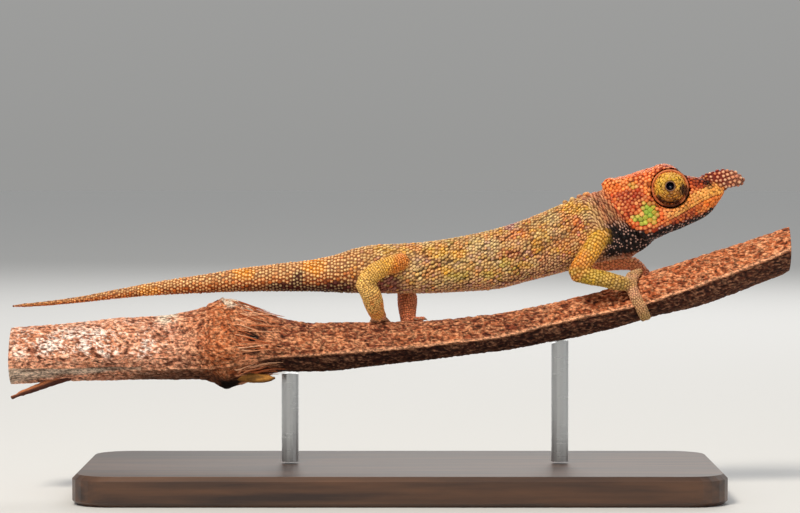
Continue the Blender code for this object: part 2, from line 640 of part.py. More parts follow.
def lobe_rings():
    """The rostral appendage, its skin thrown into low bumps by two crossing waves."""
    rings = body_rings(spaced_rows(APPENDAGE, APPENDAGE[0][0], APPENDAGE[-1][0], 17), 14, egg=0.0)
    rows, sides = rings.shape[:2]
    wave = np.sin(np.arange(rows) * 2.2)[:, None] * np.cos(np.arange(sides) * 2.7)[None, :]
    middle = rings.mean(axis=1)[:, None]
    out = rings - middle
    reach = np.linalg.norm(out, axis=2, keepdims=True)
    return rings + out / reach * np.minimum(reach * 0.3, APPENDAGE_BUMP) * wave[..., None]


def make_limb(names, paths, skin, trunk):
    """The upper and lower lengths of one limb. The upper is cut by the trunk, and each length
    that follows is cut by the one before it."""
    before = trunk
    made = []
    for name, path, blunt in zip(names, paths, ((0.0, 0.55), (0.55, 0.45))):
        piece = skinned(name, limb_rings(path, 9, 12, blunt=blunt), skin)
        trim(piece, before)
        before = [piece]
        made.append(piece)
    return made


def main():
    clear_scene()
    head_skin = finish_of("head skin", (0.62, 0.20, 0.05), 0.6)
    trunk_skin = finish_of("trunk skin", (0.55, 0.30, 0.13), 0.6)
    tail_skin = finish_of("tail skin", (0.58, 0.27, 0.08), 0.6)
    limb_skin = finish_of("limb skin", (0.60, 0.38, 0.11), 0.6)
    lid_skin = finish_of("turret skin", (0.60, 0.36, 0.06), 0.55)
    lobe_skin = finish_of("lobe skin", (0.36, 0.06, 0.04), 0.55)
    eye = finish_of("eyeball", (0.01, 0.01, 0.015), 0.08)
    bark = finish_of("bark", (0.36, 0.11, 0.05), 0.9)
    wood = finish_of("stand wood", (0.08, 0.045, 0.025), 0.4)
    steel = finish_of("stand steel", (0.6, 0.6, 0.6), 0.3, 1.0)

    perch = make_branch(bark)
    make_stand(wood, steel, perch)

    plain_head = make_head(head_skin)
    for side_name, side in (("right", -1), ("left", 1)):
        make_eye(side_name, side, lid_skin, eye)
    lobe = skinned("rostral_appendage", lobe_rings(), lobe_skin)
    combined(lobe, [swollen(plain_head, 0.0)], "DIFFERENCE", "MANIFOLD")

    ends = (TAIL_AND_TORSO[0][0], *TAIL_CUTS, HIP_CUT)
    for name, start, end, sides in zip(("tail_tip", "tail_middle", "tail_base"), ends, ends[1:],
                                       (12, 14, 18)):
        rows = spaced_rows(TAIL_AND_TORSO, start + (start > ends[0]) * GAP, end, 14)
        skinned(name, body_rings(rows, sides), tail_skin)
    rows = spaced_rows(TAIL_AND_TORSO, HIP_CUT + GAP, TAIL_AND_TORSO[SHOULDER_ROW][0], 24)
    torso = skinned("torso", body_rings(rows, 22), trunk_skin)
    neck_rows = np.asarray(NECK, float)
    neck_rows[0, [0, 2]] += GAP
    along = travelled(neck_rows[:, :2])
    neck_rows = smooth_rows(neck_rows, along, np.linspace(0, along[-1], 12))
    neck = skinned("neck", body_rings(neck_rows, 22), trunk_skin)
    combined(neck, [plain_head], "DIFFERENCE", "MANIFOLD")

    trunk = [torso, neck]
    limbs = (
        ("upper_arm_right", RIGHT_UPPER_ARM, "forearm_right", RIGHT_FOREARM, "hand_right"),
        ("upper_arm_left", LEFT_UPPER_ARM, "forearm_left", LEFT_FOREARM, "hand_left"),
        ("thigh_right", RIGHT_THIGH, "shank_right", RIGHT_SHANK, "foot_right"),
        ("thigh_left", LEFT_THIGH, "shank_left", LEFT_SHANK, "foot_left"),
    )
    for upper, upper_path, lower, lower_path, foot_name in limbs:
        wrist = (*palm_middle(FEET[foot_name][0]), PALM_RADIUS * WRIST_SHARE)
        paths = (upper_path, (*lower_path, wrist))
        made = make_limb((upper, lower), paths, limb_skin, trunk)
        foot, round_leg = make_foot(foot_name, *FEET[foot_name], limb_skin)
        trim(foot, [perch])
        fitted_on(made[1], [*round_leg, swollen(perch, GAP)])
    combined(torso, nape_cones(trunk_skin), "UNION")


main()
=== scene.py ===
"""Looks of a life-size long-nosed chameleon that walks along a cut branch on a display stand.

Lengths in the tables are millimetres, in the frame of the packed model: the animal faces +X, its
right side is towards -Y, and the floor is z = 0. Meshes are in metres.
"""

import math

import bpy
import numpy as np
from bpy.props import FloatProperty, FloatVectorProperty, IntProperty, PointerProperty
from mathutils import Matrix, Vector
from mathutils.bvhtree import BVHTree
from mathutils.kdtree import KDTree


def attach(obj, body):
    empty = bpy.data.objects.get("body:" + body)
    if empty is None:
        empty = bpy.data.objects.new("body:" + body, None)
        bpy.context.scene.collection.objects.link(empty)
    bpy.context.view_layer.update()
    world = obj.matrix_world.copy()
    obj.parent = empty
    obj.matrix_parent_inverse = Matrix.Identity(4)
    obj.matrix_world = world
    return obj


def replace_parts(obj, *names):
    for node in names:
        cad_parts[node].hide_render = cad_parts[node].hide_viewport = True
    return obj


bl_info = {
    "name": "Long-nosed chameleon",
    "version": (1, 0, 0),
    "blender": (4, 5, 0),
    "location": "3D View > Sidebar > Chameleon",
    "description": "Skin, scales, eyes, claws, branch and stand of a long-nosed chameleon model",
    "category": "Object",
}

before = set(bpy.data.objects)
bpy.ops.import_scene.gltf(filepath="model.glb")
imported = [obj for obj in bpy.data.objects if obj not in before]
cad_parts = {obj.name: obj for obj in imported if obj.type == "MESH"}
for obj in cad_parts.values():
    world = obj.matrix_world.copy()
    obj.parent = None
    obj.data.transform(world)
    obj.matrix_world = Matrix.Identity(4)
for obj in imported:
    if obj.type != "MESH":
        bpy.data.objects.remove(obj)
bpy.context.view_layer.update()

MM = 0.001
BODY = "root"

# Body from the tail's tip to the front of the torso, then up the neck under the head: the place
# of back and belly in side view (x, z, x, z) and half the width there.
TRUNK = (
    (-52.4, 25.38, -52.4, 25.18, 0.1),
    (-51.3, 25.62, -51.3, 25.14, 0.24),
    (-48.6, 25.96, -48.6, 25.2, 0.38),
    (-43.2, 26.73, -43.2, 25.65, 0.54),
    (-37.8, 27.74, -37.8, 26.26, 0.73),
    (-32.4, 28.75, -32.4, 26.73, 0.98),
    (-27.0, 29.56, -27.0, 27.0, 1.22),
    (-21.6, 30.44, -21.6, 27.2, 1.5),
    (-16.2, 31.12, -16.2, 27.26, 1.76),
    (-10.8, 31.8, -10.8, 27.2, 2.02),
    (-8.1, 32.47, -8.1, 27.09, 2.22),
    (-6.75, 32.95, -6.75, 27.03, 2.36),
    (-4.05, 33.55, -4.05, 27.02, 2.52),
    (0.0, 33.78, 0, 26.97, 2.56),
    (4.05, 34.1, 4.05, 26.98, 2.58),
    (8.1, 34.75, 8.1, 27.18, 2.64),
    (13.5, 35.97, 13.5, 27.64, 2.76),
    (17.55, 37.34, 17.55, 28.68, 2.86),
    (21.2, 38.9, 21.9, 29.8, 2.86),
    (23.9, 40.0, 25.6, 30.85, 2.72),
    (26.2, 40.72, 28.6, 31.5, 2.5),
    (28.4, 41.1, 29.9, 31.62, 2.46),
    (30.3, 40.6, 31.1, 31.82, 2.36),
    (31.9, 39.2, 31.85, 32.35, 2.16),
    (32.6, 37.6, 32.25, 33.05, 1.8),
    (32.9, 36.6, 32.5, 33.45, 1.2),
)
TRUNK_EGG = 0.1  # how much wider the section is below its middle than above

# Head, from the rear edge of the casque to the snout's tip: crown and throat in side view, then
# half the width at the crest, cheek, lips and jaw, and how far the section bows backwards.
HEAD = (
    (27.05, 41.75, 32.6, 35.1, 0.8, 2.1, 2.45, 1.9, 0.85),
    (27.7, 42.45, 33.0, 34.0, 1.3, 2.6, 2.85, 2.2, 0.8),
    (29.1, 42.66, 33.9, 34.18, 1.9, 2.95, 3.15, 2.4, 0.6),
    (30.8, 43.08, 34.9, 34.52, 2.25, 3.05, 3.3, 2.5, 0.4),
    (32.4, 43.66, 35.7, 34.9, 2.42, 3.02, 3.35, 2.5, 0.2),
    (33.75, 44.0, 36.5, 35.24, 2.45, 2.86, 3.3, 2.45, 0.1),
    (34.85, 44.45, 37.15, 35.48, 2.38, 2.7, 3.2, 2.36, 0),
    (35.8, 44.58, 37.8, 35.72, 2.3, 2.58, 3.06, 2.26, 0),
    (36.72, 44.28, 38.45, 36.0, 2.18, 2.48, 2.92, 2.16, 0),
    (37.55, 43.68, 39.15, 36.32, 2.0, 2.38, 2.76, 2.02, 0),
    (38.35, 43.05, 39.8, 36.62, 1.82, 2.26, 2.58, 1.88, 0),
    (39.3, 42.85, 40.5, 36.94, 1.66, 2.12, 2.38, 1.72, 0),
    (40.25, 42.7, 41.15, 37.3, 1.54, 1.96, 2.18, 1.56, 0),
    (41.2, 42.45, 41.75, 37.75, 1.4, 1.76, 1.94, 1.38, 0),
    (42.15, 42.05, 42.3, 38.3, 1.2, 1.5, 1.66, 1.16, 0),
    (42.95, 41.5, 42.75, 38.95, 0.94, 1.18, 1.3, 0.9, 0),
    (43.55, 41.15, 43.18, 39.6, 0.62, 0.78, 0.86, 0.6, 0),
    (43.86, 40.98, 43.55, 40.14, 0.28, 0.34, 0.38, 0.26, 0),
)
MOUTH_LINE = ((33.35, 35.45), (34.45, 36.0), (36.2, 36.95), (37.8, 37.85), (39.15, 38.6),
              (40.5, 39.4), (42.25, 40.15), (43.95, 40.62))
MOUTH_CORNER_X = 33.7
MOUTH_DEPTH = 0.34
LIP_HEIGHT = 0.5

EYE_CENTRE = (36.25, 41.18)
EYE_LOOK = (-0.18, 0.38)  # how far the turret's top leans off its foot
EYE_OUT = 1.95
TURRET_RADIUS = 2.2
TURRET_HEIGHT = 2.45
TURRET_WALL = 0.5
PUPIL_OPENING = 0.56
EYEBALL_RADIUS = 1.28
EYEBALL_LOOK = 0.5
SOCKET_RADIUS = 2.6
SOCKET_FLOOR = 1.15  # how far the socket's floor lies from the head's middle plane
SOCKET_RIM = 0.24
SOCKET_RIM_RADIUS = 2.98
NOSTRIL = (41.55, 41.75, 0.3)

# Rostral lobe: top and bottom edges in side view, and half its thickness.
LOBE = (
    (40.6, 42.95, 40.6, 41.1, 0.55),
    (41.6, 43.3, 41.7, 40.9, 0.66),
    (42.6, 43.62, 42.8, 40.85, 0.66),
    (43.5, 43.86, 43.8, 40.92, 0.63),
    (44.55, 43.76, 44.55, 41.2, 0.6),
    (45.2, 43.56, 45.25, 41.38, 0.57),
    (45.8, 43.2, 45.85, 41.52, 0.52),
    (46.2, 42.82, 46.22, 41.7, 0.42),
    (46.42, 42.48, 46.42, 41.98, 0.28),
    (46.5, 42.28, 46.5, 42.15, 0.08),
)

# Limbs: points of the bone line and the flesh's half thickness across it. A lower length ends in
# the middle of its palm.
LIMBS = {
    "upper_arm_right": ((27.0, -1.3, 34.9, 1.1), (26.5, -2.6, 34.2, 1.2),
                        (25.3, -3.5, 32.4, 1.22), (24.2, -3.9, 31.0, 1.16),
                        (23.5, -4.0, 29.95, 1.04)),
    "forearm_right": ((23.6, -4.0, 29.8, 1.04), (25.4, -3.95, 29.45, 1.06),
                      (27.4, -3.7, 29.1, 1.06), (29.0, -3.35, 28.65, 1.02)),
    "upper_arm_left": ((27.0, 1.3, 34.9, 1.0), (26.6, 2.6, 34.0, 1.05), (25.9, 3.4, 32.6, 1.0),
                       (25.4, 3.8, 31.6, 0.98), (25.1, 3.9, 30.9, 0.9)),
    "forearm_left": ((25.2, 3.9, 30.75, 0.95), (27.3, 3.8, 30.85, 1.0), (29.6, 3.5, 31.0, 0.96),
                     (31.6, 2.9, 30.9, 0.92)),
    "thigh_right": ((0.7, -1.8, 31.6, 0.95), (-0.4, -2.7, 31.3, 1.06), (-2.1, -3.3, 30.7, 1.16),
                    (-3.6, -3.6, 29.8, 1.22), (-4.6, -3.7, 28.8, 1.16)),
    "shank_right": ((-4.8, -3.7, 28.5, 1.18), (-4.0, -3.2, 27.2, 1.3), (-3.55, -2.3, 25.9, 1.16),
                    (-3.25, -1.3, 24.8, 0.98)),
    "thigh_left": ((0.4, 1.3, 31.6, 0.92), (0.2, 2.5, 31.0, 0.98), (-0.2, 3.3, 30.2, 1.1),
                   (-0.4, 3.6, 29.4, 1.14), (-0.4, 3.7, 28.8, 1.1)),
    "shank_left": ((0.1, 3.7, 28.5, 1.14), (0.8, 3.4, 27.2, 1.2), (1.0, 2.8, 26.0, 1.2),
                   (1.0, 2.1, 25.0, 1.1)),
}
FOOT_OF = {"forearm_right": "hand_right", "forearm_left": "hand_left",
           "shank_right": "foot_right", "shank_left": "foot_left"}
WRIST_SHARE = 0.9

# Feet: where the palm sits on the branch (x, degrees from the top towards the right side), and
# for each bundle its number of toes and the place it reaches.
FEET = {
    "hand_right": ((30.9, 38.0), ((2, 33.0, 136.0), (3, 31.8, -6.0))),
    "hand_left": ((33.2, -36.0), ((2, 31.6, -104.0), (3, 35.4, -62.0))),
    "foot_right": ((-2.9, -6.0), ((3, -1.1, -62.0), (2, -4.6, -70.0))),
    "foot_left": ((1.1, -34.0), ((3, 2.6, -20.0), (2, 0.1, -96.0))),
}
TOE_RADIUS = 0.44
TOE_SPACING = 0.6
TOE_LIFT = 0.6
TOE_TAPER = (1.25, 1.2, 1.1, 1.0, 0.92, 0.75)
CLAW_LENGTH = 0.5
CLAW_RADIUS = 0.16
CLAW_TAPER = (1.3, 1.25, 0.8, 0.35)
PALM_RADIUS = 0.92
GRIP_GAP = 0.3

# Branch: top and bottom of its side view, the middle's place across, and half its depth.
BRANCH = (
    (-52.5, 22.45, 14.65, 0, 3.85),
    (-45.9, 22.98, 15.05, 0.05, 3.95),
    (-37.8, 23.69, 15.32, 0.1, 4.05),
    (-29.7, 24.3, 15.36, 0.1, 4.3),
    (-27.0, 24.98, 15.39, 0.05, 4.6),
    (-25.1, 25.9, 14.95, 0, 5.2),
    (-23.6, 26.33, 14.24, 0, 5.6),
    (-22.1, 26.06, 14.58, 0, 5.5),
    (-20.6, 25.4, 15.2, 0, 4.95),
    (-17.6, 24.17, 16.27, -0.1, 4.0),
    (-13.5, 23.22, 16.4, -0.2, 3.45),
    (-8.1, 23.22, 16.67, -0.4, 3.2),
    (0.0, 23.22, 17.62, -0.6, 2.9),
    (8.1, 23.76, 18.56, -0.6, 2.7),
    (13.5, 24.37, 19.31, -0.5, 2.6),
    (20.25, 25.72, 20.45, -0.25, 2.65),
    (27.0, 27.34, 21.87, 0, 2.8),
    (33.75, 29.9, 23.69, 0.1, 3.0),
    (40.5, 32.06, 25.38, 0.1, 3.15),
    (47.25, 34.22, 27.81, 0, 3.0),
    (52.5, 36.11, 29.97, 0, 2.8),
)
BRANCH_SQUARENESS = 1.62
BRANCH_EDGE_DROP = 0.13
BUD_STUB = ((-21.8, -2.2, 16.2, 0.75), (-19.5, -2.5, 15.75, 0.62), (-17.6, -2.6, 15.7, 0.42),
            (-16.9, -2.6, 15.75, 0.16))
BARK_FLAP = ((-44.5, -1.2, 15.9, 0.5), (-48.0, -1.6, 14.7, 0.42), (-50.6, -1.8, 13.75, 0.34),
             (-52.2, -1.9, 13.1, 0.2))
NAPE_XS = (22.3, 23.3, 24.25, 25.15)


# Shapes as whole arrays.

def smooth_rows(rows, along, places):
    """Rows on a smooth curve through the given rows: cubics whose slope at a row is that of the
    chord across it."""
    rows = np.asarray(rows, float)
    slope = np.gradient(rows, along, axis=0)
    at = np.clip(np.searchsorted(along, places, side="right") - 1, 0, len(along) - 2)
    span = (along[at + 1] - along[at])[:, None]
    t = (places - along[at])[:, None] / span
    return ((2 * t**3 - 3 * t**2 + 1) * rows[at] + (t**3 - 2 * t**2 + t) * span * slope[at]
            + (3 * t**2 - 2 * t**3) * rows[at + 1] + (t**3 - t**2) * span * slope[at + 1])


def travelled(points):
    """The distance along a run of points, from its first."""
    steps = np.linalg.norm(np.diff(points, axis=0), axis=1)
    return np.concatenate([[0.0], np.cumsum(steps)])


def section_rows(table, count):
    """Rows at even steps along the middle of a table's side view."""
    table = np.array(table, float)
    along = travelled((table[:, 0:2] + table[:, 2:4]) / 2)
    return smooth_rows(table, along, np.linspace(0, along[-1], count))


def turns(count):
    """So many even steps of one full turn."""
    return np.linspace(0, 2 * np.pi, count, endpoint=False)


def unit(vectors):
    return vectors / np.maximum(np.linalg.norm(vectors, axis=-1, keepdims=True), 1e-9)


def ramp(value, low, high):
    """0 below low and 1 above high, with 3t²-2t³ between."""
    t = np.clip((value - low) / (high - low), 0, 1)
    return t * t * (3 - 2 * t)


def fade(value, low, high):
    """1 below low and 0 above high: 1 less the ramp."""
    return 1 - ramp(value, low, high)


def band(value, low, full, end, high):
    """1 from full to end, and 0 below low and above high: a ramp times a fade."""
    return ramp(value, low, full) * fade(value, end, high)


def bell(value, reach):
    """1 at zero, falling off both ways as e to the power of minus (value / reach) squared."""
    return np.exp(-((value / reach) ** 2))


def noise(points, size, seed):
    """Smooth noise from -1 to 1: random numbers at the corners of cubes of that size, blended
    across each cube by 3t²-2t³ along its edges."""
    place = np.asarray(points) / size
    cell = np.floor(place).astype(np.int64)
    t = place - cell
    t = t * t * (3 - 2 * t)
    total = np.zeros(len(place))
    for corner in np.ndindex(2, 2, 2):
        at = cell + corner
        key = at[:, 0] * 73856093 ^ at[:, 1] * 19349663 ^ at[:, 2] * 83492791 ^ seed * 265443
        key = (key ^ (key >> 13)) * 1274126177 & 0xFFFFFFFF
        value = ((key ^ (key >> 16)) & 0xFFFF) / 32767.5 - 1
        total += value * np.prod(np.where(corner, t, 1 - t), axis=1)
    return total


def side_off(points, x, z, reach_x=1.0, reach_z=1.0):
    """Distance from a place in side view, counted in the two reaches."""
    return np.hypot((points[..., 0] - x) / reach_x, (points[..., 2] - z) / reach_z)


def height_on(line, x):
    """Height at x of a line in side view that is given by its points."""
    return np.interp(x, *np.array(line)[:, :2].T)


def oval_rings(rows, sides, egg=0.0):
    """Ovals between back and belly of each row: across by the half width times the cosine, up and
    down by the sine, wider below the middle by egg."""
    turn = turns(sides)
    share = (1 - np.sin(turn)) / 2
    side_view = rows[:, None, 0:2] + (rows[:, 2:4] - rows[:, 0:2])[:, None] * share[:, None]
    across = rows[:, 4, None] * (np.cos(turn) * (1 - egg * np.sin(turn)))
    return np.stack([side_view[..., 0], across, side_view[..., 1]], axis=-1)


def tube_rings(path, count, sides, blunt=(0.0, 0.0)):
    """Circles square to a smooth curve through the path's points, its fourth column the radius. A
    blunt end closes in on a quarter of an ellipse."""
    path = np.asarray(path, float)
    along = travelled(path[:, :3])
    rows = smooth_rows(path, along, np.linspace(0, along[-1], count))
    centre, radius = rows[:, :3], rows[:, 3]
    ahead = unit(np.gradient(centre, axis=0))
    side = unit(np.cross(ahead, (0.0, 0.31, 0.95)))
    up = np.cross(side, ahead)
    turn = turns(sides)
    around = (np.cos(turn)[:, None] * side[:, None] + np.sin(turn)[:, None] * up[:, None])
    rings = centre[:, None] + radius[:, None, None] * around
    for end, way, share in ((0, -1, blunt[0]), (-1, 1, blunt[1])):
        if share:
            lean = np.radians((25, 50, 72))[:, None, None]
            cap = (centre[end] + np.cos(lean) * (rings[end] - centre[end])
                   + way * np.sin(lean) * radius[end] * share * 1.4 * ahead[end])
            rings = np.concatenate([cap[::-1], rings] if end == 0 else [rings, cap])
    return rings


def mouth_share(crown, throat):
    """Where the line from crown to throat crosses the line of the mouth, as a share of it."""
    share = np.linspace(0, 1, 241)
    point = crown + (throat - crown) * share[:, None]
    return share[np.argmin(np.abs(point[:, 1] - height_on(MOUTH_LINE, point[:, 0])))]


def closed_curve(points, count):
    """Even steps on a smooth closed curve through the points."""
    wrapped = np.concatenate([points[-2:], points, points[:3]])
    along = travelled(wrapped)
    places = np.linspace(along[2], along[len(points) + 2], count, endpoint=False)
    return smooth_rows(wrapped, along, places)


def head_rings(count, sides):
    """Sections of the head from casque to snout, each a smooth closed curve: crown, crest, temple,
    cheek, upper lip, in at the mouth, lower lip, jaw, throat, and back up the left side. A low rim
    runs round each eye."""
    rings = []
    for row in section_rows(HEAD, count):
        crown, throat = row[0:2], row[2:4]
        crest, cheek, lip, jaw, bow = row[4:9]
        length = np.linalg.norm(throat - crown)
        down = (throat - crown) / length
        mouth = np.clip(mouth_share(crown, throat), 0.2, 0.8)
        lips = min(LIP_HEIGHT / length, 0.3 * mouth, 0.3 * (1 - mouth))
        above, below = mouth - lips, mouth + lips
        wide = np.clip((crown[0] + throat[0] - 2 * MOUTH_CORNER_X) / 2.4, 0, 1)
        cut = MOUTH_DEPTH * wide * min(1.0, lip / 1.6)
        keys = np.array([
            (0.00, 0.00), (0.02 * above, 0.52 * crest), (0.08 * above, 0.90 * crest),
            (0.18 * above, crest), (0.38 * above, 0.45 * crest + 0.55 * cheek),
            (0.64 * above, cheek), (0.84 * above, 0.5 * (cheek + lip)), (above, lip),
            (mouth - 0.35 * lips, lip - 0.3 * cut), (mouth, lip - cut),
            (mouth + 0.35 * lips, 0.97 * lip - 0.3 * cut), (below, 0.96 * lip),
            (below + 0.45 * (1 - below), 0.5 * (lip + jaw)),
            (below + 0.88 * (1 - below), 0.72 * jaw), (1.0, 0.0),
        ])
        share = np.concatenate([keys[:, 0], keys[-2:0:-1, 0]])
        across = np.concatenate([-keys[:, 1], keys[-2:0:-1, 1]])
        back = np.array([down[1], -down[0]])
        side_view = (crown + (throat - crown) * share[:, None]
                     + back * (bow * np.sin(np.pi * share))[:, None])
        section = np.stack([side_view[:, 0], across, side_view[:, 1]], axis=-1)
        rings.append(closed_curve(section, sides))
    rings = np.array(rings)
    rim = SOCKET_RIM * bell(side_off(rings, *EYE_CENTRE) - SOCKET_RIM_RADIUS, 0.45)
    rings[..., 1] += np.sign(rings[..., 1]) * rim * np.clip(np.abs(rings[..., 1]) - 1.2, 0, 1)
    return rings


def branch_row(x):
    table = np.asarray(BRANCH, float)
    return smooth_rows(table, table[:, 0], np.atleast_1d(np.asarray(x, float)))


def branch_point(x, angle, lift=0.0):
    """A point over the branch. Its section is a superellipse whose side edges sit a little low;
    angle goes from the top to the animal's right, lift is the height over the bark."""
    row = branch_row(x)
    middle = (row[:, 1] + row[:, 2]) / 2
    half_height = (row[:, 1] - row[:, 2]) / 2 + lift
    half_depth = row[:, 4] + lift
    turn = np.radians(np.atleast_1d(angle))
    power = 2 / BRANCH_SQUARENESS
    up = np.sign(np.cos(turn)) * np.abs(np.cos(turn)) ** power
    out = np.sign(np.sin(turn)) * np.abs(np.sin(turn)) ** power
    drop = BRANCH_EDGE_DROP * half_height * np.abs(out)
    return np.stack([row[:, 0], row[:, 3] - half_depth * out, middle + half_height * up - drop],
                    axis=-1)


def branch_out(points):
    """The directions straight out from the branch's middle line."""
    row = branch_row(points[:, 0])
    return unit(points - np.column_stack([row[:, 0], row[:, 3], (row[:, 1] + row[:, 2]) / 2]))


def toe_paths(foot):
    """Middle lines and radii of a foot's toes and claws. A toe follows the bark from the palm to
    its bundle's end, and its claw goes on over the tip down to the bark."""
    (x, angle), bundles = FEET[foot]
    toes, claws = [], []
    share = np.linspace(0, 1, 6)
    lift = TOE_LIFT + (PALM_RADIUS * 0.8 - TOE_LIFT) * (1 - share) ** 2
    for number, end_x, end_angle in bundles:
        for shift in (np.arange(number) - (number - 1) / 2) * TOE_SPACING:
            way = branch_point(x + (end_x - x) * share + shift * (0.35 + 0.65 * share),
                               angle + (end_angle - angle) * share, lift)
            toes.append(np.column_stack([way, TOE_RADIUS * np.array(TOE_TAPER)]))
            back = branch_point(x + (end_x - x) * 0.93 + shift * 0.97,
                                angle + (end_angle - angle) * 0.93, TOE_LIFT)[0]
            ahead = unit(way[-1] - back)
            tip = branch_point(end_x + shift, end_angle, GRIP_GAP)[0] + ahead * CLAW_LENGTH
            line = np.array([back, way[-1], 0.4 * way[-1] + 0.6 * tip, tip])
            claws.append(np.column_stack([line, CLAW_RADIUS * np.array(CLAW_TAPER)]))
    return toes, claws


def palm_middle(foot):
    return branch_point(*FEET[foot][0], PALM_RADIUS * 0.95)[0]


def limb_path(name):
    if name not in FOOT_OF:
        return np.array(LIMBS[name])
    wrist = (*palm_middle(FOOT_OF[name]), PALM_RADIUS * WRIST_SHARE)
    return np.array((*LIMBS[name], wrist))


# Meshes and objects.

def mesh_of(name, points, faces):
    """A mesh from points in millimetres and face arrays, each with its own number of corners."""
    mesh = bpy.data.meshes.new(name)
    mesh.vertices.add(len(points))
    mesh.vertices.foreach_set("co", (np.asarray(points) * MM).astype(np.float32).ravel())
    corners = np.concatenate([f.ravel() for f in faces]).astype(np.int32)
    counts = np.concatenate([np.full(len(f), f.shape[1]) for f in faces])
    starts = np.concatenate([[0], np.cumsum(counts)[:-1]]).astype(np.int32)
    mesh.loops.add(len(corners))
    mesh.loops.foreach_set("vertex_index", corners)
    mesh.polygons.add(len(counts))
    mesh.polygons.foreach_set("loop_start", starts)
    mesh.update(calc_edges=True)
    mesh.shade_smooth()
    return mesh


def ring_quads(count, sides, closed=False):
    """Quads between rings that follow one another, and from the last to the first if closed."""
    ring = np.arange(sides)
    after = (ring + 1) % sides
    row = np.arange(count if closed else count - 1)[:, None] * sides
    below = (row + sides) % (count * sides)
    quads = np.stack([row + ring, row + after, below + after, below + ring], axis=-1)
    return quads.reshape(-1, 4)


def outward(points, faces):
    """The same faces, turned round if together they enclose a negative volume."""
    volume = 0.0
    for group in faces:
        for i in range(1, group.shape[1] - 1):
            a, b, c = points[group[:, 0]], points[group[:, i]], points[group[:, i + 1]]
            volume += np.einsum("ij,ij->i", a, np.cross(b, c)).sum()
    return faces if volume > 0 else [group[:, ::-1] for group in faces]


def closed_tube(rings):
    """Points and faces of a closed tube: quads between its rings, and a fan of triangles over each
    end round a middle point that comes after the rings."""
    count, sides = rings.shape[:2]
    points = np.concatenate([rings.reshape(-1, 3), rings[[0, -1]].mean(axis=1)])
    ring, last = np.arange(sides), (count - 1) * sides
    after, middle = (ring + 1) % sides, np.full(sides, count * sides)
    fans = np.concatenate([np.stack([middle, after, ring], axis=1),
                           np.stack([middle + 1, last + ring, last + after], axis=1)])
    return points, outward(points, [ring_quads(count, sides), fans])


def joined(surfaces):
    """Points and face arrays of several closed surfaces as one list of each."""
    points, faces, first = [], [], 0
    for own_points, own_faces in surfaces:
        points.append(own_points)
        faces += [group + first for group in own_faces]
        first += len(own_points)
    return np.concatenate(points), faces


def linked(name, data):
    """A new object in the scene."""
    made = bpy.data.objects.new(name, data)
    bpy.context.scene.collection.objects.link(made)
    return made


def add_piece(name, mesh, tints, material):
    """Adds a finished piece that rides the body. Each vertex has its own linear colour, in the
    attribute that the material reads."""
    layer = mesh.attributes.new("tint", "FLOAT_COLOR", "POINT")
    rgba = np.ones((len(tints), 4), np.float32)
    rgba[:, :3] = np.clip(tints, 0, 1)
    layer.data.foreach_set("color", rgba.ravel())
    mesh.materials.append(material)
    piece = linked(name, mesh)
    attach(piece, BODY)
    return piece


def add_tubes(name, tubes, shades, material):
    """Adds several closed tubes as one piece, with an array of colours for each."""
    return add_piece(name, mesh_of(name, *joined(tubes)), np.concatenate(shades), material)


def pulled(items, key, kind, width):
    """One value of each item of a mesh, as the rows of an array."""
    flat = np.empty(len(items) * width, kind)
    items.foreach_get(key, flat)
    return flat.reshape(-1, width)


def read_mesh(mesh):
    """Vertex places in millimetres, vertex normals and the two ends of each edge."""
    return (pulled(mesh.vertices, "co", np.float32, 3).astype(float) / MM,
            pulled(mesh.vertex_normals, "vector", np.float32, 3).astype(float),
            pulled(mesh.edges, "vertices", np.int32, 2))


def put_points(mesh, points):
    mesh.vertices.foreach_set("co", (points * MM).astype(np.float32).ravel())
    mesh.update()


def neighbour_mean(values, ends):
    """The mean of each vertex's neighbours along its edges."""
    a, b = ends.T
    many = len(values)
    number = np.bincount(a, minlength=many) + np.bincount(b, minlength=many)
    total = np.stack([np.bincount(a, column[b], many) + np.bincount(b, column[a], many)
                      for column in values.reshape(many, -1).T], axis=-1)
    return (total / np.maximum(number, 1)[:, None]).reshape(values.shape)


def tree_of(points):
    tree = KDTree(len(points))
    for i, point in enumerate(points):
        tree.insert(point, i)
    tree.balance()
    return tree


def closest(tree, points):
    return np.array([tree.find(p)[1] for p in points])


# Settings.

def linear(hex_colour):
    """An sRGB hex value as the linear numbers that Blender's colours are held in."""
    channel = np.array([int(hex_colour[i:i + 2], 16) for i in (1, 3, 5)]) / 255
    return np.where(channel <= 0.04045, channel / 12.92, ((channel + 0.055) / 1.055) ** 2.4)


def amount(name, text, value, low=0.0, **more):
    return FloatProperty(name=name, description=text, default=value, min=low, **more)


def size(name, text, millimetres):
    return amount(name, text, millimetres * MM, precision=5, unit="LENGTH")


def hue(name, text, hex_colour):
    return FloatVectorProperty(name=name, description=text, default=tuple(linear(hex_colour)),
                               min=0.0, max=1.0, size=3, subtype="COLOR")


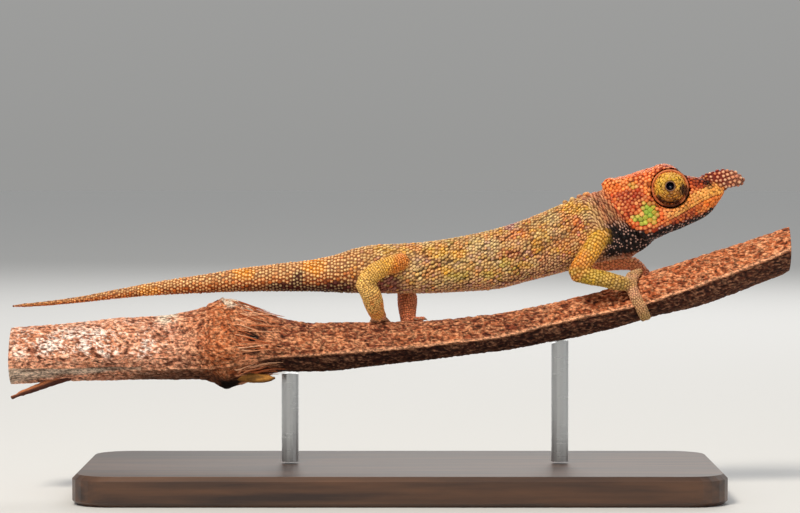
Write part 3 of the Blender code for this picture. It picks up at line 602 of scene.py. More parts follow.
class CoatSettings(bpy.types.PropertyGroup):
    """Sizes of the skin and its scales."""
    grain: size("Skin grain", "Side of the skin mesh's quads", 0.185)
    depth: size("Coat depth", "How far the skin lies under the tops of its scales", 0.13)
    tail_pitch: size("Tail scales", "Spacing at the tail's root", 0.54)
    tip_pitch: size("Tail tip scales", "Spacing at the tail's tip", 0.24)
    trunk_pitch: size("Trunk scales", "Spacing on the flanks", 0.44)
    head_pitch: size("Head scales", "Spacing on casque and cheek", 0.49)
    cheek_pitch: size("Cheek plates", "Spacing of the large green scales", 0.80)
    lip_pitch: size("Lip scales", "Spacing along the mouth", 0.42)
    throat_pitch: size("Throat scales", "Spacing on throat and neck", 0.42)
    arm_pitch: size("Arm scales", "Spacing on the forelegs", 0.48)
    leg_pitch: size("Leg scales", "Spacing on the hind legs", 0.34)
    foot_pitch: size("Foot scales", "Spacing on hands and feet", 0.30)
    lobe_pitch: size("Lobe tubercles", "Spacing on the snout's lobe", 0.54)
    turret_pitch: size("Turret granules", "Spacing on the eye turrets", 0.36)
    seed: IntProperty(name="Seed", description="Start of the random draws", default=7, min=0)


class MarkingSettings(bpy.types.PropertyGroup):
    """Colours of the living animal."""
    head_orange: hue("Head orange", "Casque and temple", "#D8541A")
    head_bright: hue("Head bright orange", "Behind and under the eye", "#E87A26")
    head_red: hue("Head red", "Middle of the temple", "#9C2A0C")
    # Tops of the head's scales: partly their own pale colour and partly painted highlight.
    head_tip: hue("Head scale tops", "Tops of the head's scales", "#FFB870")
    cheek_green: hue("Cheek green", "Large scales of the cheek", "#8FA838")
    lip_gold: hue("Upper lip", "Band over the mouth", "#F0A84C")
    lip_red: hue("Lower lip", "Band under the mouth", "#8A2C10")
    throat_black: hue("Throat black", "Throat and chin", "#080202")
    throat_dot: hue("Throat dots", "Pale tops among the throat's granules", "#D9A898")
    snout_red: hue("Snout red", "Top of the snout", "#641608")
    lobe_red: hue("Lobe red", "Ground of the snout's lobe", "#902A1A")
    lobe_tip: hue("Lobe tips", "Tops of the lobe's tubercles", "#FFCFA2")
    turret_gold: hue("Turret gold", "Granules of the eye turret", "#E0A836")
    turret_brown: hue("Turret brown", "Lower part and rings of the turret", "#8A4A14")
    lid_edge: hue("Lid edge", "Rim of skin round the pupil", "#7E5C52")
    # Painted shade: the dark in the groove round each turret, at the fold's edges, inside the
    # turret, in the nostrils and between the throat's scales.
    groove: hue("Groove", "Fold round the turret", "#2A0C0A")
    fold: hue("Neck folds", "Streaks behind the head", "#AE5E42")
    beige: hue("Trunk beige", "Ground of the trunk", "#CC9A5A")
    pale: hue("Trunk pale", "Pale patches of the trunk", "#DCC088")
    olive: hue("Trunk olive", "Olive yellow patches", "#B8A02C")
    gold: hue("Trunk gold", "Yellow orange patches", "#E9A92A")
    orange: hue("Trunk orange", "Orange patches", "#E2742C")
    red: hue("Trunk red", "Red patches", "#B8461E")
    pink: hue("Belly pink", "Belly and nape", "#C08066")
    # Skin between the scales: a dark colour of its own that also stands for painted shade between
    # them.
    gap: hue("Between scales", "Skin between the scales", "#4A170B")
    # Hip brown: the dark brown of the neck's streaks, and also painted shade under the hip, behind
    # the near thigh and along the tail's underside.
    belly: hue("Hip brown", "Under the hip and the tail's root", "#45160D")
    tail: hue("Tail orange", "Ground of the tail", "#BE6220")
    # Pale tops of trunk, tail, leg and turret scales: partly their own colour and partly painted
    # highlight.
    cream: hue("Tail cream", "Tops of the tail's scales", "#F8DC9E")
    limb_gold: hue("Leg gold", "Upper lengths of the near legs", "#DE9F34")
    limb_orange: hue("Leg orange", "Elbow and front of the thigh", "#E0762A")
    limb_tan: hue("Leg tan", "Lower lengths of the legs", "#E2B060")
    hand: hue("Hand pink", "Hands and feet", "#CE9270")
    violet: hue("Flank violet", "Violet specks on the flanks and the nape", "#A0667C")
    socket: hue("Socket fold", "Ring of skin round the turret", "#D27A4A")
    # Painted light: the far arm lies in the body's shadow but is given a bright orange.
    far_arm: hue("Far arm", "Arm of the left side", "#FF9A6C")
    forearm: hue("Forearm", "Olive scales of the near forearm and hand", "#AE9034")
    # Painted shade: the hollow in front of and under the near thigh.
    groin: hue("Groin", "Flank in front of the near thigh", "#94544A")
    gold_tail: hue("Tail gold", "Gold patches of the tail", "#F0941C")
    # Painted shade: the far legs are given a darker red than the near ones.
    far_leg: hue("Far leg", "Legs of the left side", "#D06E4A")


FIXED_HUES = {
    # Bark; the ridge's pale line is painted highlight, and the dark under the ridge, along the
    # bottom, between fibres and in the pit is painted shade
    "rust": "#7C4028", "salmon": "#CC8A6C", "warm_rust": "#B0592F", "tan": "#C07044",
    "umber": "#6E2E1C", "knot_rust": "#B8602E", "scurf": "#E3A377", "pale_scurf": "#F2C4AC",
    "cracks": "#3A140A", "under_ridge": "#200A06", "under_scurf": "#B07A5C",
    "ridge": "#EDB088", "flecks": "#F4E2D8", "low_edge": "#2A120A", "torn": "#0E0503",
    "fibre": "#D9936A", "fibre_gap": "#2B0F09", "pit": "#100604", "lichen": "#DCCCB8",
    # Bare wood, cut ends, bud stub and bark flap
    "straw": "#CDB49E", "straw_line": "#8E7462", "end_wood": "#C9A277", "end_ring": "#8A5F3C",
    "pith": "#5B3A26", "end_bark": "#4A2114", "stub": "#96662E", "flap": "#48241A",
    "flap_top": "#C47A50",
    # Eyes, nostrils and claws; the nostril colour is painted shade, and the turret's dark paints a
    # blotch and a crescent of painted shade
    "pupil": "#0A0F1E", "iris": "#5A3A18", "eye_rim": "#1A0E08", "turret_dark": "#2A0E0C",
    "nostril": "#2A1A20", "claw": "#8A6248", "claw_tip": "#2A1710",
}


def coat():
    return bpy.context.scene.chameleon_coat


def colour(of):
    """The linear numbers of a colour that is given by its name, or as numbers already."""
    if not isinstance(of, str):
        return of
    if of in FIXED_HUES:
        return linear(FIXED_HUES[of])
    return np.array(getattr(bpy.context.scene.chameleon_marks, of))


def laid(ground, *layers):
    """Colours laid over a ground in turn: the ground plus each weight times the colour's difference
    from it."""
    ground = colour(ground)
    for over, weight in layers:
        ground = ground + (colour(over) - ground) * np.reshape(weight, (-1, 1))
    return ground


# Skin.

PARTS = ("trunk", "head", "lobe", *LIMBS, *FEET)
HEAD_PART = PARTS.index("head")
TRUNK_RINGS = 560
CHIN_REAR = (32.6, 0.0, 34.2)
GULAR = ((29.6, 0.0, 33.3, 1.20), (31.2, 0.0, 33.55, 1.35), (32.8, 0.0, 34.35, 1.25),
         (34.6, 0.0, 35.55, 0.70))  # soft skin that fills the angle of chin and throat
LIMB_SWELL = 0.12  # the legs' rings are larger by this, which the rounding takes off again
SHANK_SWELL = 0.14
NEAR_HAND_SWELL = 0.15  # the near hand's toes are thicker by this, as in the picture
THIN_TAIL = 0.30  # the tail's tip is thickened to this for the remesh, then drawn in again
FOLD_STEP, FOLD_DEPTH, CREASE_DEPTH = 0.72, 0.12, 0.16
NOSTRIL_DEPTH = 0.42
FLANK_TURN = math.radians(32)  # how far the flank's rows of scales rise towards the head


def flesh():
    """Rings of every length of flesh, as (part, rings)."""
    lobe = np.array(LOBE)
    lobe = smooth_rows(lobe, lobe[:, 0], np.linspace(lobe[0, 0], lobe[-1, 0], 36))
    found = [("trunk", oval_rings(section_rows(TRUNK, TRUNK_RINGS), 72, TRUNK_EGG)),
             ("head", head_rings(110, 132)),
             ("lobe", oval_rings(lobe, 40)),
             ("trunk", tube_rings(GULAR, 24, 32, (0.6, 0.6)))]
    for name in LIMBS:
        blunt = (0.55, 0.45) if name in FOOT_OF else (0.0, 0.55)
        path = limb_path(name) + (0, 0, 0, LIMB_SWELL)
        if name.startswith("shank"):
            path[2:, 3] += SHANK_SWELL
        found.append((name, tube_rings(path, 44, 32, blunt)))
    for foot in FEET:
        turn = np.linspace(-0.85, 0.85, 7)
        spine = np.tile((*palm_middle(foot), 0.0), (7, 1))
        spine[:, 0] += turn * PALM_RADIUS
        spine[:, 3] = PALM_RADIUS * np.sqrt(1 - turn**2)
        found.append((foot, tube_rings(spine, 12, 24, (0.5, 0.5))))
        plump = (0, 0, 0, NEAR_HAND_SWELL if foot == "hand_right" else 0.0)
        found += [(foot, tube_rings(toe + plump, 16, 14, (0.3, 0.6)))
                  for toe in toe_paths(foot)[0]]
    return found


class Chart:
    """The lofts' own grids, for finding a point's part, its place on that loft's unwrap (u along, v
    round), and the way that its scales lie: tailwards on trunk, head and lobe, and towards the toes
    on the limbs."""

    def __init__(self, lofts):
        points, lies, parts, places = [], [], [], []
        for number, (part, rings) in enumerate(lofts):
            count, sides = rings.shape[:2]
            ahead = unit(np.gradient(rings.mean(axis=1), axis=0))
            body = part in ("trunk", "head", "lobe")
            u = np.repeat(np.linspace(0.02, 0.98, count), sides)
            v = np.tile(np.arange(sides) / sides, count)
            points.append(rings.reshape(-1, 3))
            lies.append(np.repeat(-ahead if body else ahead, sides, axis=0))
            parts.append(np.full(count * sides, PARTS.index(part)))
            places.append(np.column_stack([u if body else (number + u) * (1 / len(lofts)), v, u]))
        self.lies, self.parts, self.places = map(np.concatenate, (lies, parts, places))
        self.tree = tree_of(np.concatenate(points))

    def nearest(self, points):
        return closest(self.tree, points)


def drawn_in(points):
    """The thickened tip of the tail brought back to its own thickness, across and in height."""
    rows = section_rows(TRUNK, TRUNK_RINGS)
    x, y, z = points.T
    middle, half_height, half_width = (np.interp(x, rows[:, 0], values) for values in (
        (rows[:, 1] + rows[:, 3]) / 2, (rows[:, 1] - rows[:, 3]) / 2, rows[:, 4]))
    tip = x < -44
    y = np.where(tip, y * half_width / np.maximum(half_width, THIN_TAIL), y)
    z = np.where(tip, middle + (z - middle) * half_height / np.maximum(half_height, THIN_TAIL), z)
    return np.column_stack([x, y, z])


def joint_weight(points):
    """1 at the shoulders, hips, elbows, knees and wrists and where chin and throat meet, falling
    off as a bell round each."""
    places = [(CHIN_REAR, 2.2)]
    for name in LIMBS:
        path = limb_path(name)
        places.append((path[-1, :3], 0.9))
        if name not in FOOT_OF:
            places.append((path[1, :3], 1.5))
    return np.max([bell(np.linalg.norm(points - centre, axis=1), reach)
                   for centre, reach in places], axis=0)


def flank_creases(points):
    """1 in the thin creases that rise across the flanks towards the head, which are sunk and also
    painted dark as shade: where noise drawn out along them passes through zero."""
    x, y, z = points.T
    lean = FLANK_TURN * 0.9
    along = x * math.cos(lean) + z * math.sin(lean)
    across = z * math.cos(lean) - x * math.sin(lean)
    drawn = np.column_stack([along * 0.28, y * 0.4, across])
    here = band(x, -1, 3, 24, 27) * ramp(np.abs(y), 0.9, 1.6)
    return fade(np.abs(noise(drawn, 0.95, 15)), 0.03, 0.20) * here


def neck_folds(points, normals, on_trunk):
    """Pushes the skin behind the head in and out by a sine of the distance from the casque's rear
    edge, fading towards the back, and sinks the creases."""
    start, end = np.array(HEAD[0][0:2]), np.array(HEAD[0][2:4])
    down = unit(end - start)
    side_view = points[:, [0, 2]] - start
    away = side_view @ np.array([down[1], -down[0]])
    level = side_view @ down
    wave = np.sin(2 * np.pi * away / FOLD_STEP + 1.2 * noise(points, 1.6, 3))
    here = band(away, -0.6, 0.3, 2.2, 4.2) * ramp(level, -0.2, 1.2) * fade(level, 8.5, 10.5)
    here = here * ramp(np.abs(points[:, 1]), 0.5, 1.3)
    crease = flank_creases(points) * on_trunk
    return points + normals * (FOLD_DEPTH * wave * here * on_trunk - CREASE_DEPTH * crease)[:, None]


def with_sockets(points, on_head):
    """Sinks a round socket with a flat floor under each turret, and a pit at each nostril."""
    x, y, z = points.T
    inside = fade(side_off(points, *EYE_CENTRE), SOCKET_RADIUS - 0.16, SOCKET_RADIUS + 0.16)
    floor = np.sign(y) * np.minimum(np.abs(y), SOCKET_FLOOR)
    y = y + (floor - y) * (inside * on_head * (np.abs(y) > 0.7))
    pit = bell(side_off(points, *NOSTRIL[:2]), NOSTRIL[2] * 0.8) * (np.abs(y) > 0.5)
    return np.column_stack([x, y - np.sign(y) * NOSTRIL_DEPTH * pit, z])


def remeshed(points, faces, grain):
    """One closed skin round several closed surfaces that cross, of quads of one size."""
    rough = linked("rough", mesh_of("rough", points, faces))
    step = rough.modifiers.new("one skin", "REMESH")
    step.mode = "VOXEL"
    step.voxel_size = grain
    graph = bpy.context.evaluated_depsgraph_get()
    mesh = bpy.data.meshes.new_from_object(rough.evaluated_get(graph))
    bpy.data.objects.remove(rough, do_unlink=True)
    return mesh


def make_skin_mesh(chart, lofts):
    """The skin: all lofts made one by a remesh, its joints rounded by moving points towards their
    neighbours' mean, then folds, sockets and nostrils, and last drawn in under the coat's depth."""
    thick = []
    for part, rings in lofts:
        if len(rings) == TRUNK_RINGS:
            middle = rings.mean(axis=1, keepdims=True)
            reach = np.linalg.norm((rings - middle), axis=2).min(axis=1)
            grow = np.maximum(THIN_TAIL / np.maximum(reach, 1e-3), 1)[:, None, None]
            rings = middle + (rings - middle) * grow
        thick.append(closed_tube(rings))
    mesh = remeshed(*joined(thick), coat().grain)
    points, normals, ends = read_mesh(mesh)
    weight = joint_weight(points)[:, None]
    for _ in range(3):
        points += 0.5 * (neighbour_mean(points, ends) - points)
    for _ in range(16):
        points += 0.6 * weight * (neighbour_mean(points, ends) - points)
    points = drawn_in(points)
    part = chart.parts[chart.nearest(points)]
    on_head = (part == HEAD_PART).astype(float)
    on_head = np.maximum(on_head, neighbour_mean(on_head, ends))
    points = neck_folds(points, normals, (part == 0).astype(float))
    put_points(mesh, with_sockets(points, on_head))
    points, normals, ends = read_mesh(mesh)
    thin = np.interp(points[:, 0], (-52.4, -46.0), (0.25, 1.0))
    thin = np.where(part >= PARTS.index("hand_right"), 0.5, thin)
    put_points(mesh, points - normals * (coat().depth / MM * thin)[:, None])
    return mesh


# Markings.

# Soft-edged patches in side view on both flanks: middle (x, z), reach (x, z), colour, strength.
TRUNK_PATCHES = (
    (15.6, 34.4, 3.0, 1.8, "orange", 0.55), (16.2, 31.6, 3.2, 1.5, "orange", 0.40),
    (14.8, 33.2, 2.4, 1.3, "red", 0.45), (22.6, 35.4, 2.6, 2.6, "orange", 0.45),
    (11.4, 33.4, 2.4, 1.3, "pale", 0.75), (4.7, 32.7, 1.9, 0.9, "gold", 0.85),
    (7.9, 32.5, 1.4, 0.8, "gold", 0.8), (9.2, 30.9, 1.2, 0.7, "gold", 0.9),
    (6.2, 30.2, 1.2, 0.6, "gold", 0.8), (17.2, 31.2, 1.3, 0.6, "gold", 0.8),
    (18.4, 33.5, 0.9, 1.0, "gold", 0.7), (18.4, 35.2, 1.0, 0.9, "gold", 0.6),
    (13.9, 31.2, 1.3, 0.7, "olive", 0.8), (12.3, 29.7, 1.6, 0.8, "olive", 0.7),
    (15.2, 30.1, 1.2, 0.6, "olive", 0.6), (7.5, 29.4, 1.8, 0.7, "olive", 0.7),
    (15.6, 35.1, 1.3, 0.8, "orange", 0.9), (17.0, 32.6, 1.2, 0.9, "red", 0.65),
    (15.0, 36.3, 1.3, 0.8, "violet", 0.75), (3.0, 31.5, 1.8, 1.0, "pink", 0.7),
    (10.6, 32.0, 1.6, 0.7, "pink", 0.65), (19.6, 31.6, 2.2, 1.0, "pink", 0.5),
    (1.8, 33.4, 1.5, 0.5, "orange", 0.5), (-1.0, 32.9, 2.2, 0.6, "gold", 0.5),
    (23.9, 36.3, 1.1, 1.0, "orange", 0.9), (23.6, 38.6, 1.8, 0.8, "gold", 0.8),
    (20.4, 37.2, 1.5, 0.8, "pale", 0.6), (25.6, 34.6, 1.0, 1.6, "red", 0.5),
    (25.8, 36.4, 1.0, 1.6, "fold", 0.6), (26.2, 39.9, 2.6, 1.0, "pink", 0.7),
    # The two belly patches on the next line are painted shade under the hip and the near thigh.
    (-2.2, 28.9, 2.2, 1.2, "belly", 0.85), (-7.6, 27.8, 3.6, 0.8, "belly", 0.9),
    (-3.0, 31.6, 0.9, 0.4, "red", 0.6),
)
TAIL_PATCHES = (
    (-21.2, 29.7, 1.7, 0.9, "gold_tail", 0.85), (-11.5, 30.5, 1.6, 1.2, "gold_tail", 0.9),
    # The belly patches are painted shade behind the near thigh and under the tail's root.
    (-34.0, 27.4, 1.8, 0.8, "gold_tail", 0.6), (-13.7, 29.0, 0.9, 1.3, "belly", 0.9),
    (-15.8, 27.9, 2.4, 0.6, "belly", 0.9), (-10.5, 27.5, 4.4, 0.7, "belly", 0.95),
)
HEAD_PATCHES = (
    (29.2, 41.8, 2.6, 1.3, "head_bright", 0.35), (31.4, 40.0, 2.7, 1.1, "head_red", 0.95),
    (33.6, 41.2, 1.0, 1.2, "head_bright", 0.7), (30.3, 38.3, 1.5, 1.4, "head_red", 0.6),
    (29.9, 37.2, 0.9, 1.6, "head_red", 0.45), (33.0, 38.9, 1.6, 0.7, "head_red", 0.4),
    (33.6, 37.8, 1.20, 1.30, "cheek_green", 1.0), (32.7, 36.9, 0.9, 0.60, "cheek_green", 0.9),
    (31.5, 37.3, 0.60, 0.45, "cheek_green", 0.9), (32.9, 39.3, 0.45, 0.35, "cheek_green", 0.7),
    (31.3, 41.6, 0.6, 0.32, "cheek_green", 0.5), (36.4, 37.9, 1.4, 1.0, "head_tip", 0.45),
    (35.6, 44.4, 1.9, 0.42, "head_red", 0.8), (40.3, 42.2, 2.0, 0.85, "snout_red", 1.0),
    (41.5, 42.5, 1.1, 0.40, "throat_black", 0.8),
)
STREAK_WAY = np.array([[1, 0, 1.1], [0, 0.4, 0], [-1.1, 0, 1]])  # turns and stretches the streaks
CHIN_EDGE = ((27, 37.2), (31, 36.1), (33, 35.5), (34, 35.5), (35, 35.95), (38, 36.85),
             (40.5, 37.85), (42.5, 38.95), (43.8, 40.0))
# Colours of a limb's length at its start and its end, and the end colour's strength.
LIMB_HUES = {
    "upper_arm": ("limb_gold", "limb_orange", 0.8), "forearm": ("turret_gold", "hand", 0.9),
    "thigh": ("limb_gold", "limb_tan", 0.7), "shank": ("limb_tan", "limb_orange", 0.6),
    "hand": ("hand", "forearm", 0.6), "foot": ("hand", "limb_orange", 0.5),
}


def patched(ground, points, patches):
    """Lays patches over the ground, their outlines made uneven by noise."""
    ragged = 0.30 * noise(points, 1.1, 11) + 0.18 * noise(points, 0.5, 12)
    return laid(ground, *((name, fade(side_off(points, *place) + ragged, 0.7, 1.15) * strength)
                          for *place, name, strength in patches))


def neck_run(points):
    """How far towards the head a point lies, along the slope of the casque's rear edge."""
    return points[:, 0] + 0.45 * (points[:, 2] - 36)


def paint_trunk(points):
    """Orange tail with cream tops, mottled flanks, pink belly, streaked neck, black throat. The
    tops are partly painted highlight and the gaps partly painted shade, and there is painted shade
    in the groin, under the hip, along the tail's underside and in the flank's creases.
    """
    x, _, z = points.T
    rows = section_rows(TRUNK, TRUNK_RINGS)
    low, high = (np.interp(x, rows[:, i], rows[:, i + 1]) for i in (2, 0))
    level = (z - low) / np.maximum(high - low, 0.1)
    on_tail = fade(x, -10, -1)
    # Painted shade along the lower half of the tail, in the hip brown.
    low_tail_shade = fade(level, 0.05, 0.55) * on_tail * ramp(x, -38, -16)
    # Painted shade in the hollow in front of and under the near thigh.
    groin = fade(side_off(points, -2.2, 28.0, 3.0, 1.5), 0.5, 1.15)
    neck = ramp(neck_run(points), 26.4, 28.4)
    dapple, streaks = noise(points, 1.3, 16), points @ STREAK_WAY
    ground = patched(laid("beige", ("tail", on_tail)), points, TRUNK_PATCHES)
    ground = laid(ground, ("orange", ramp(dapple, 0.15, 0.6) * 0.35),
                  ("pale", ramp(-dapple, 0.15, 0.6) * 0.45 * (1 - on_tail)),
                  ("red", ramp(noise(points, 0.8, 17), 0.35, 0.7) * 0.45 * on_tail),
                  ("pink", fade(level, 0.02, 0.34) * (1 - on_tail) * 0.75),
                  ("pale", ramp(level, 0.3, 0.7) * on_tail * 0.32))
    ground = laid(patched(ground, points, TAIL_PATCHES),
                  ("belly", low_tail_shade * 0.8), ("groin", groin * 0.85), ("fold", neck * 0.8),
                  ("pale", neck * ramp(noise(streaks, 0.55, 21), 0.0, 0.5) * 0.30),
                  ("belly", neck * ramp(noise(streaks, 0.50, 22), 0.05, 0.4) * 0.6))
    dull = np.max([0.6 * neck, 0.7 * groin, 0.45 * low_tail_shade, 0.75 * fade(x, -46, -32)], axis=0)
    # Pale tops, partly the scales' own cream and partly painted highlight; fewer on the neck, the
    # tail's tip and where painted shade lies.
    tip = laid(ground, ("cream", (0.50 + 0.34 * on_tail) * (1 - dull)))
    ground = ground * (0.84 + 0.16 * np.maximum(on_tail, neck))[:, None]
    chest = fade(z - 31.55 - 0.20 * (x - 28.0), 0.15, 0.55) * band(x, 26, 28, 32.0, 33.0)
    throat = np.maximum(
        ramp(x, 26.9, 28.0) * fade(z - 0.25 * noise(points, 0.8, 5), 36.1, 37.3),
        ramp(x, 29.8, 30.6) * fade(z, 37.0, 38.2)) * (1 - 0.9 * chest)
    ground = laid(ground, ("throat_black", throat))
    tip = laid(tip, ("throat_dot", throat))
    # Gaps: the gap colour, black on the throat, mixed with a darker copy of the ground as painted
    # shade.
    gap = laid("gap", ("throat_black", throat * 0.8), (ground * 0.30, 0.4))
    # Painted shade: ground, tops and gaps darker in the flank's creases.
    crease = flank_creases(points)[:, None]
    return (ground * (1 - 0.42 * crease), tip * (1 - 0.36 * crease), gap * (1 - 0.6 * crease),
            0.85 - 0.35 * throat)


def paint_head(points):
    """Orange casque, red temple, green cheek, gold upper lip, red lower lip, black chin, and a
    reddish rim round each eye, inside which the groove at the turret's foot is painted dark as
    shade. The scales' pale tops are partly painted highlight and the nostrils are painted dark as
    shade."""
    x, _, z = points.T
    over = z - height_on(MOUTH_LINE, x)
    upper = ramp(over, -0.1, 0.1) * fade(over + 0.25 * noise(points, 0.7, 31), 1.5, 2.3)
    lower = fade(over, -0.1, 0.1) * ramp(x, 33.6, 35.0)
    ground = laid("head_orange", ("lip_gold", upper * ramp(x, 35.2, 37.4)))
    ground = laid(patched(ground, points, HEAD_PATCHES),
                  ("lip_red", lower), ("head_bright", lower * ramp(x, 39.6, 41.0) * 0.85))
    edge = height_on(CHIN_EDGE, x)
    black = fade(z + 0.22 * noise(points, 0.6, 32), edge - 0.25, edge + 0.25)
    deep = fade(ground[:, 1], 0.03, 0.10)
    green = ramp(ground[:, 1] - ground[:, 0], -0.02, 0.1)
    bare = fade(side_off(points, 36.3, 37.9, 1.6, 1.1), 0.8, 1.2)
    snout = fade(side_off(points, 40.6, 42.2, 2.2, 0.95), 0.9, 1.2)
    # Painted shade: the nostril's shallow pit is painted dark in ground, tops and gaps.
    nostril = fade(side_off(points, *NOSTRIL[:2]) + 0.1 * noise(points, 0.4, 33), 0.40, 0.62)
    # Pale tops, partly the scales' own colour and partly painted highlight; lighter on the green
    # cheek and the lower lip.
    tip = laid(ground, ("head_tip", 0.70 + 0.34 * noise(points, 0.6, 34) - 0.26 * deep),
               (colour("cheek_green") * 1.3, green))
    tip = laid(tip, (ground * 1.1 + colour("head_tip") * 0.2, bare), (ground * 1.3, lower * 0.45),
               (colour("head_orange") * 0.8, snout * 0.8), ("throat_dot", black),
               ("nostril", nostril))
    away = side_off(points, *EYE_CENTRE)
    # Painted shade in the groove between the head and the turret's fold.
    groove = fade(away, 2.56, 2.70)
    ground = laid(ground, ("throat_black", black),
                  ("head_red", band(away, 2.56, 2.70, 2.95, 3.2) * 0.5), ("groove", groove))
    # Gaps: a darker copy of the ground as painted shade, darker still in the groove, on the black
    # chin and in the nostrils.
    gap = laid(ground * 0.22, ("gap", 0.35), ("groove", np.maximum(groove, black * 0.6)),
               ("groove", nostril))
    return laid(ground, ("throat_black", nostril)), tip, gap, 0.9 - 0.5 * black - 0.45 * nostril


def paint_lobe(points):
    """Dark red ground that grows pinker towards the front, with pale tops."""
    x = points[:, 0]
    ground = laid("lobe_red", ("lobe_tip", ramp(x, 42.6, 45.6) * 0.22))
    root = fade(x, 41.6, 43.4) * ramp(noise(points, 0.7, 35), -0.1, 0.2)
    tip = laid("lobe_tip", ("gold", root * 0.8),
               ("orange", ramp(noise(points, 0.42, 36), 0.0, 0.5) * 0.55))
    # The gaps are a darker copy of the ground: painted shade between the tubercles.
    return ground, tip, ground * 0.45, 0.92


def paint_limb(points, part, u):
    """Gold upper lengths that turn orange at the joint, tan lower lengths, pink hands. On the far
    side a bright orange on the arm is painted light, and a darker red on the legs, darker still on
    the thigh, is painted shade."""
    far, arm = part.endswith("left"), "arm" in part
    start, end, strength = LIMB_HUES[part.rsplit("_", 1)[0]]
    ground = laid(start, (end, ramp(u + 0.1 * noise(points, 0.8, 41), 0.25, 0.95) * strength),
                  ("olive", ramp(noise(points, 0.9, 42), 0.0, 0.7) * (0.4 if arm else 0.12)))
    if part == "forearm_right":
        ground = laid(ground, ("forearm", 0.55))
    if part.startswith("thigh"):
        low = ramp(points[:, 0] - 0.35 * (points[:, 2] - 30), -2.2, -0.6)
        ground = laid(ground, ("limb_orange", low * 0.8)) * 1.08
    if part == "shank_right":
        spot = ramp(noise(points * (1, 1, 1.4), 0.75, 43), 0.0, 0.5) * ramp(u, 0.2, 0.5)
        ground = laid(ground, ("limb_orange", spot * 0.75)) * 1.12
    # Far side: painted light on the arm, and painted shade on the legs, more on the thigh.
    if far:
        speck = ramp(noise(points, 0.45, 44), 0.0, 0.5)
        ground = laid(ground, ("orange" if arm else "pink", speck * 0.5),
                      ("far_arm" if arm else "far_leg", 0.85))
        if part.startswith("thigh"):
            ground = ground * 0.7
    # Pale tops, partly painted highlight, less pale on the far side; the gaps are a darker copy of
    # the ground as painted shade.
    return (ground, laid(ground, ("cream", 0.2 if far else 0.4)),
            laid(ground * 0.36, ("gap", 0.30 if far else 0.45)), 0.8)


def markings(points, parts, u):
    """Ground, top and gap colours of the coat at each point, and how many of the scales there have
    pale tops. The tops are partly painted highlight and the gaps partly painted shade."""
    body = {"trunk": paint_trunk, "head": paint_head, "lobe": paint_lobe}
    values = np.zeros((len(points), 10))
    for number, part in enumerate(PARTS):
        here = parts == number
        if here.any():
            found = (body[part](points[here]) if part in body
                     else paint_limb(points[here], part, u[here]))
            values[here] = np.column_stack([*found[:3], np.broadcast_to(found[3], here.sum())])
    return values


# Scales.

SIDES = 8
DOME = ((1.04, -0.45), (0.93, 0.44), (0.58, 0.86))  # rings of a scale: share of reach, height
PATCH = 0.0015  # half the width of a scale's patch on the bake map
RISE = {"trunk": 0.27, "head": 0.22, "lobe": 0.40, "hand": 0.18, "foot": 0.18}
LIMB_RISE = 0.20
CONE = (0.30, 0.44)  # reach and rise of a cone of the nape's crest
ROW_JITTER, FLANK_JITTER = 0.11, 0.15  # shares of the pitch
FLANK_MIX = ("pale", "olive", "orange", "pink", "violet", "gold")
HEAD_MIX = ("head_bright", "head_red", "head_orange", "head_red", "head_tip", "head_bright")


class Surface:
    """The finished skin as arrays, with its markings at each vertex. Where two parts meet, the
    markings are blended by moving them towards their neighbours' mean."""

    def __init__(self, mesh, chart):
        self.points, self.normals, ends = read_mesh(mesh)
        self.tree = tree_of(self.points)
        faces = pulled(mesh.polygons, "vertices", np.int32, 4)
        self.sheet = BVHTree.FromPolygons(self.points.tolist(), faces.tolist())
        found = chart.nearest(self.points)
        self.parts = chart.parts[found]
        values = markings(self.points, self.parts, chart.places[found, 2])
        edge = np.abs(neighbour_mean(self.parts.astype(float), ends) - self.parts) > 0
        soft = edge.astype(float)
        for _ in range(6):
            soft = np.maximum(soft, neighbour_mean(soft, ends))
        soft = np.where(soft > 0.02, 1.0, 0.0)[:, None]
        for _ in range(8):
            values += 0.5 * soft * (neighbour_mean(values, ends) - values)
        self.values = values

    def nearest(self, points):
        """The closest places on the skin, and how far off each point was."""
        hits = [self.sheet.find_nearest(p) for p in points.tolist()]
        return np.array([h[0] for h in hits]), np.array([h[3] for h in hits])


def pitch_at(points, parts):
    """The spacing of the scales in millimetres, by place along the trunk, larger on the green
    cheek, smaller along the mouth and on eyes, throat, legs and feet."""
    sizes = coat()
    x, _, z = points.T
    trunk = np.interp(x, (-52, -44, -30, -14, 24), (
        sizes.tip_pitch, 0.6 * sizes.tip_pitch + 0.4 * sizes.tail_pitch, 0.93 * sizes.tail_pitch,
        sizes.tail_pitch, sizes.trunk_pitch))
    throat = (parts == 0) * ramp(x, 25.8, 27.6)
    trunk = trunk + (sizes.throat_pitch - trunk) * throat
    over = z - height_on(MOUTH_LINE, x)
    away = side_off(points, *EYE_CENTRE)
    cheek = fade(side_off(points, 33.3, 37.5, 1.9, 1.7), 0.8, 1.1)
    head = sizes.head_pitch + (sizes.cheek_pitch - sizes.head_pitch) * cheek
    snug = np.maximum(fade(np.abs(over), 0.6, 1.4), fade(away, 2.9, 3.6))
    snug = np.maximum(snug, ramp(x, 39.5, 41.5)) * (x > 34)
    head = head + (sizes.lip_pitch - head) * snug
    head = np.where(over < -0.9, sizes.throat_pitch, head)
    pitches = {"trunk": trunk, "head": head, "lobe": sizes.lobe_pitch}
    for name in LIMBS:
        pitches[name] = sizes.arm_pitch if "arm" in name else sizes.leg_pitch
    return np.choose(parts, [np.broadcast_to(pitches.get(name, sizes.foot_pitch), len(x))
                             for name in PARTS]) / MM


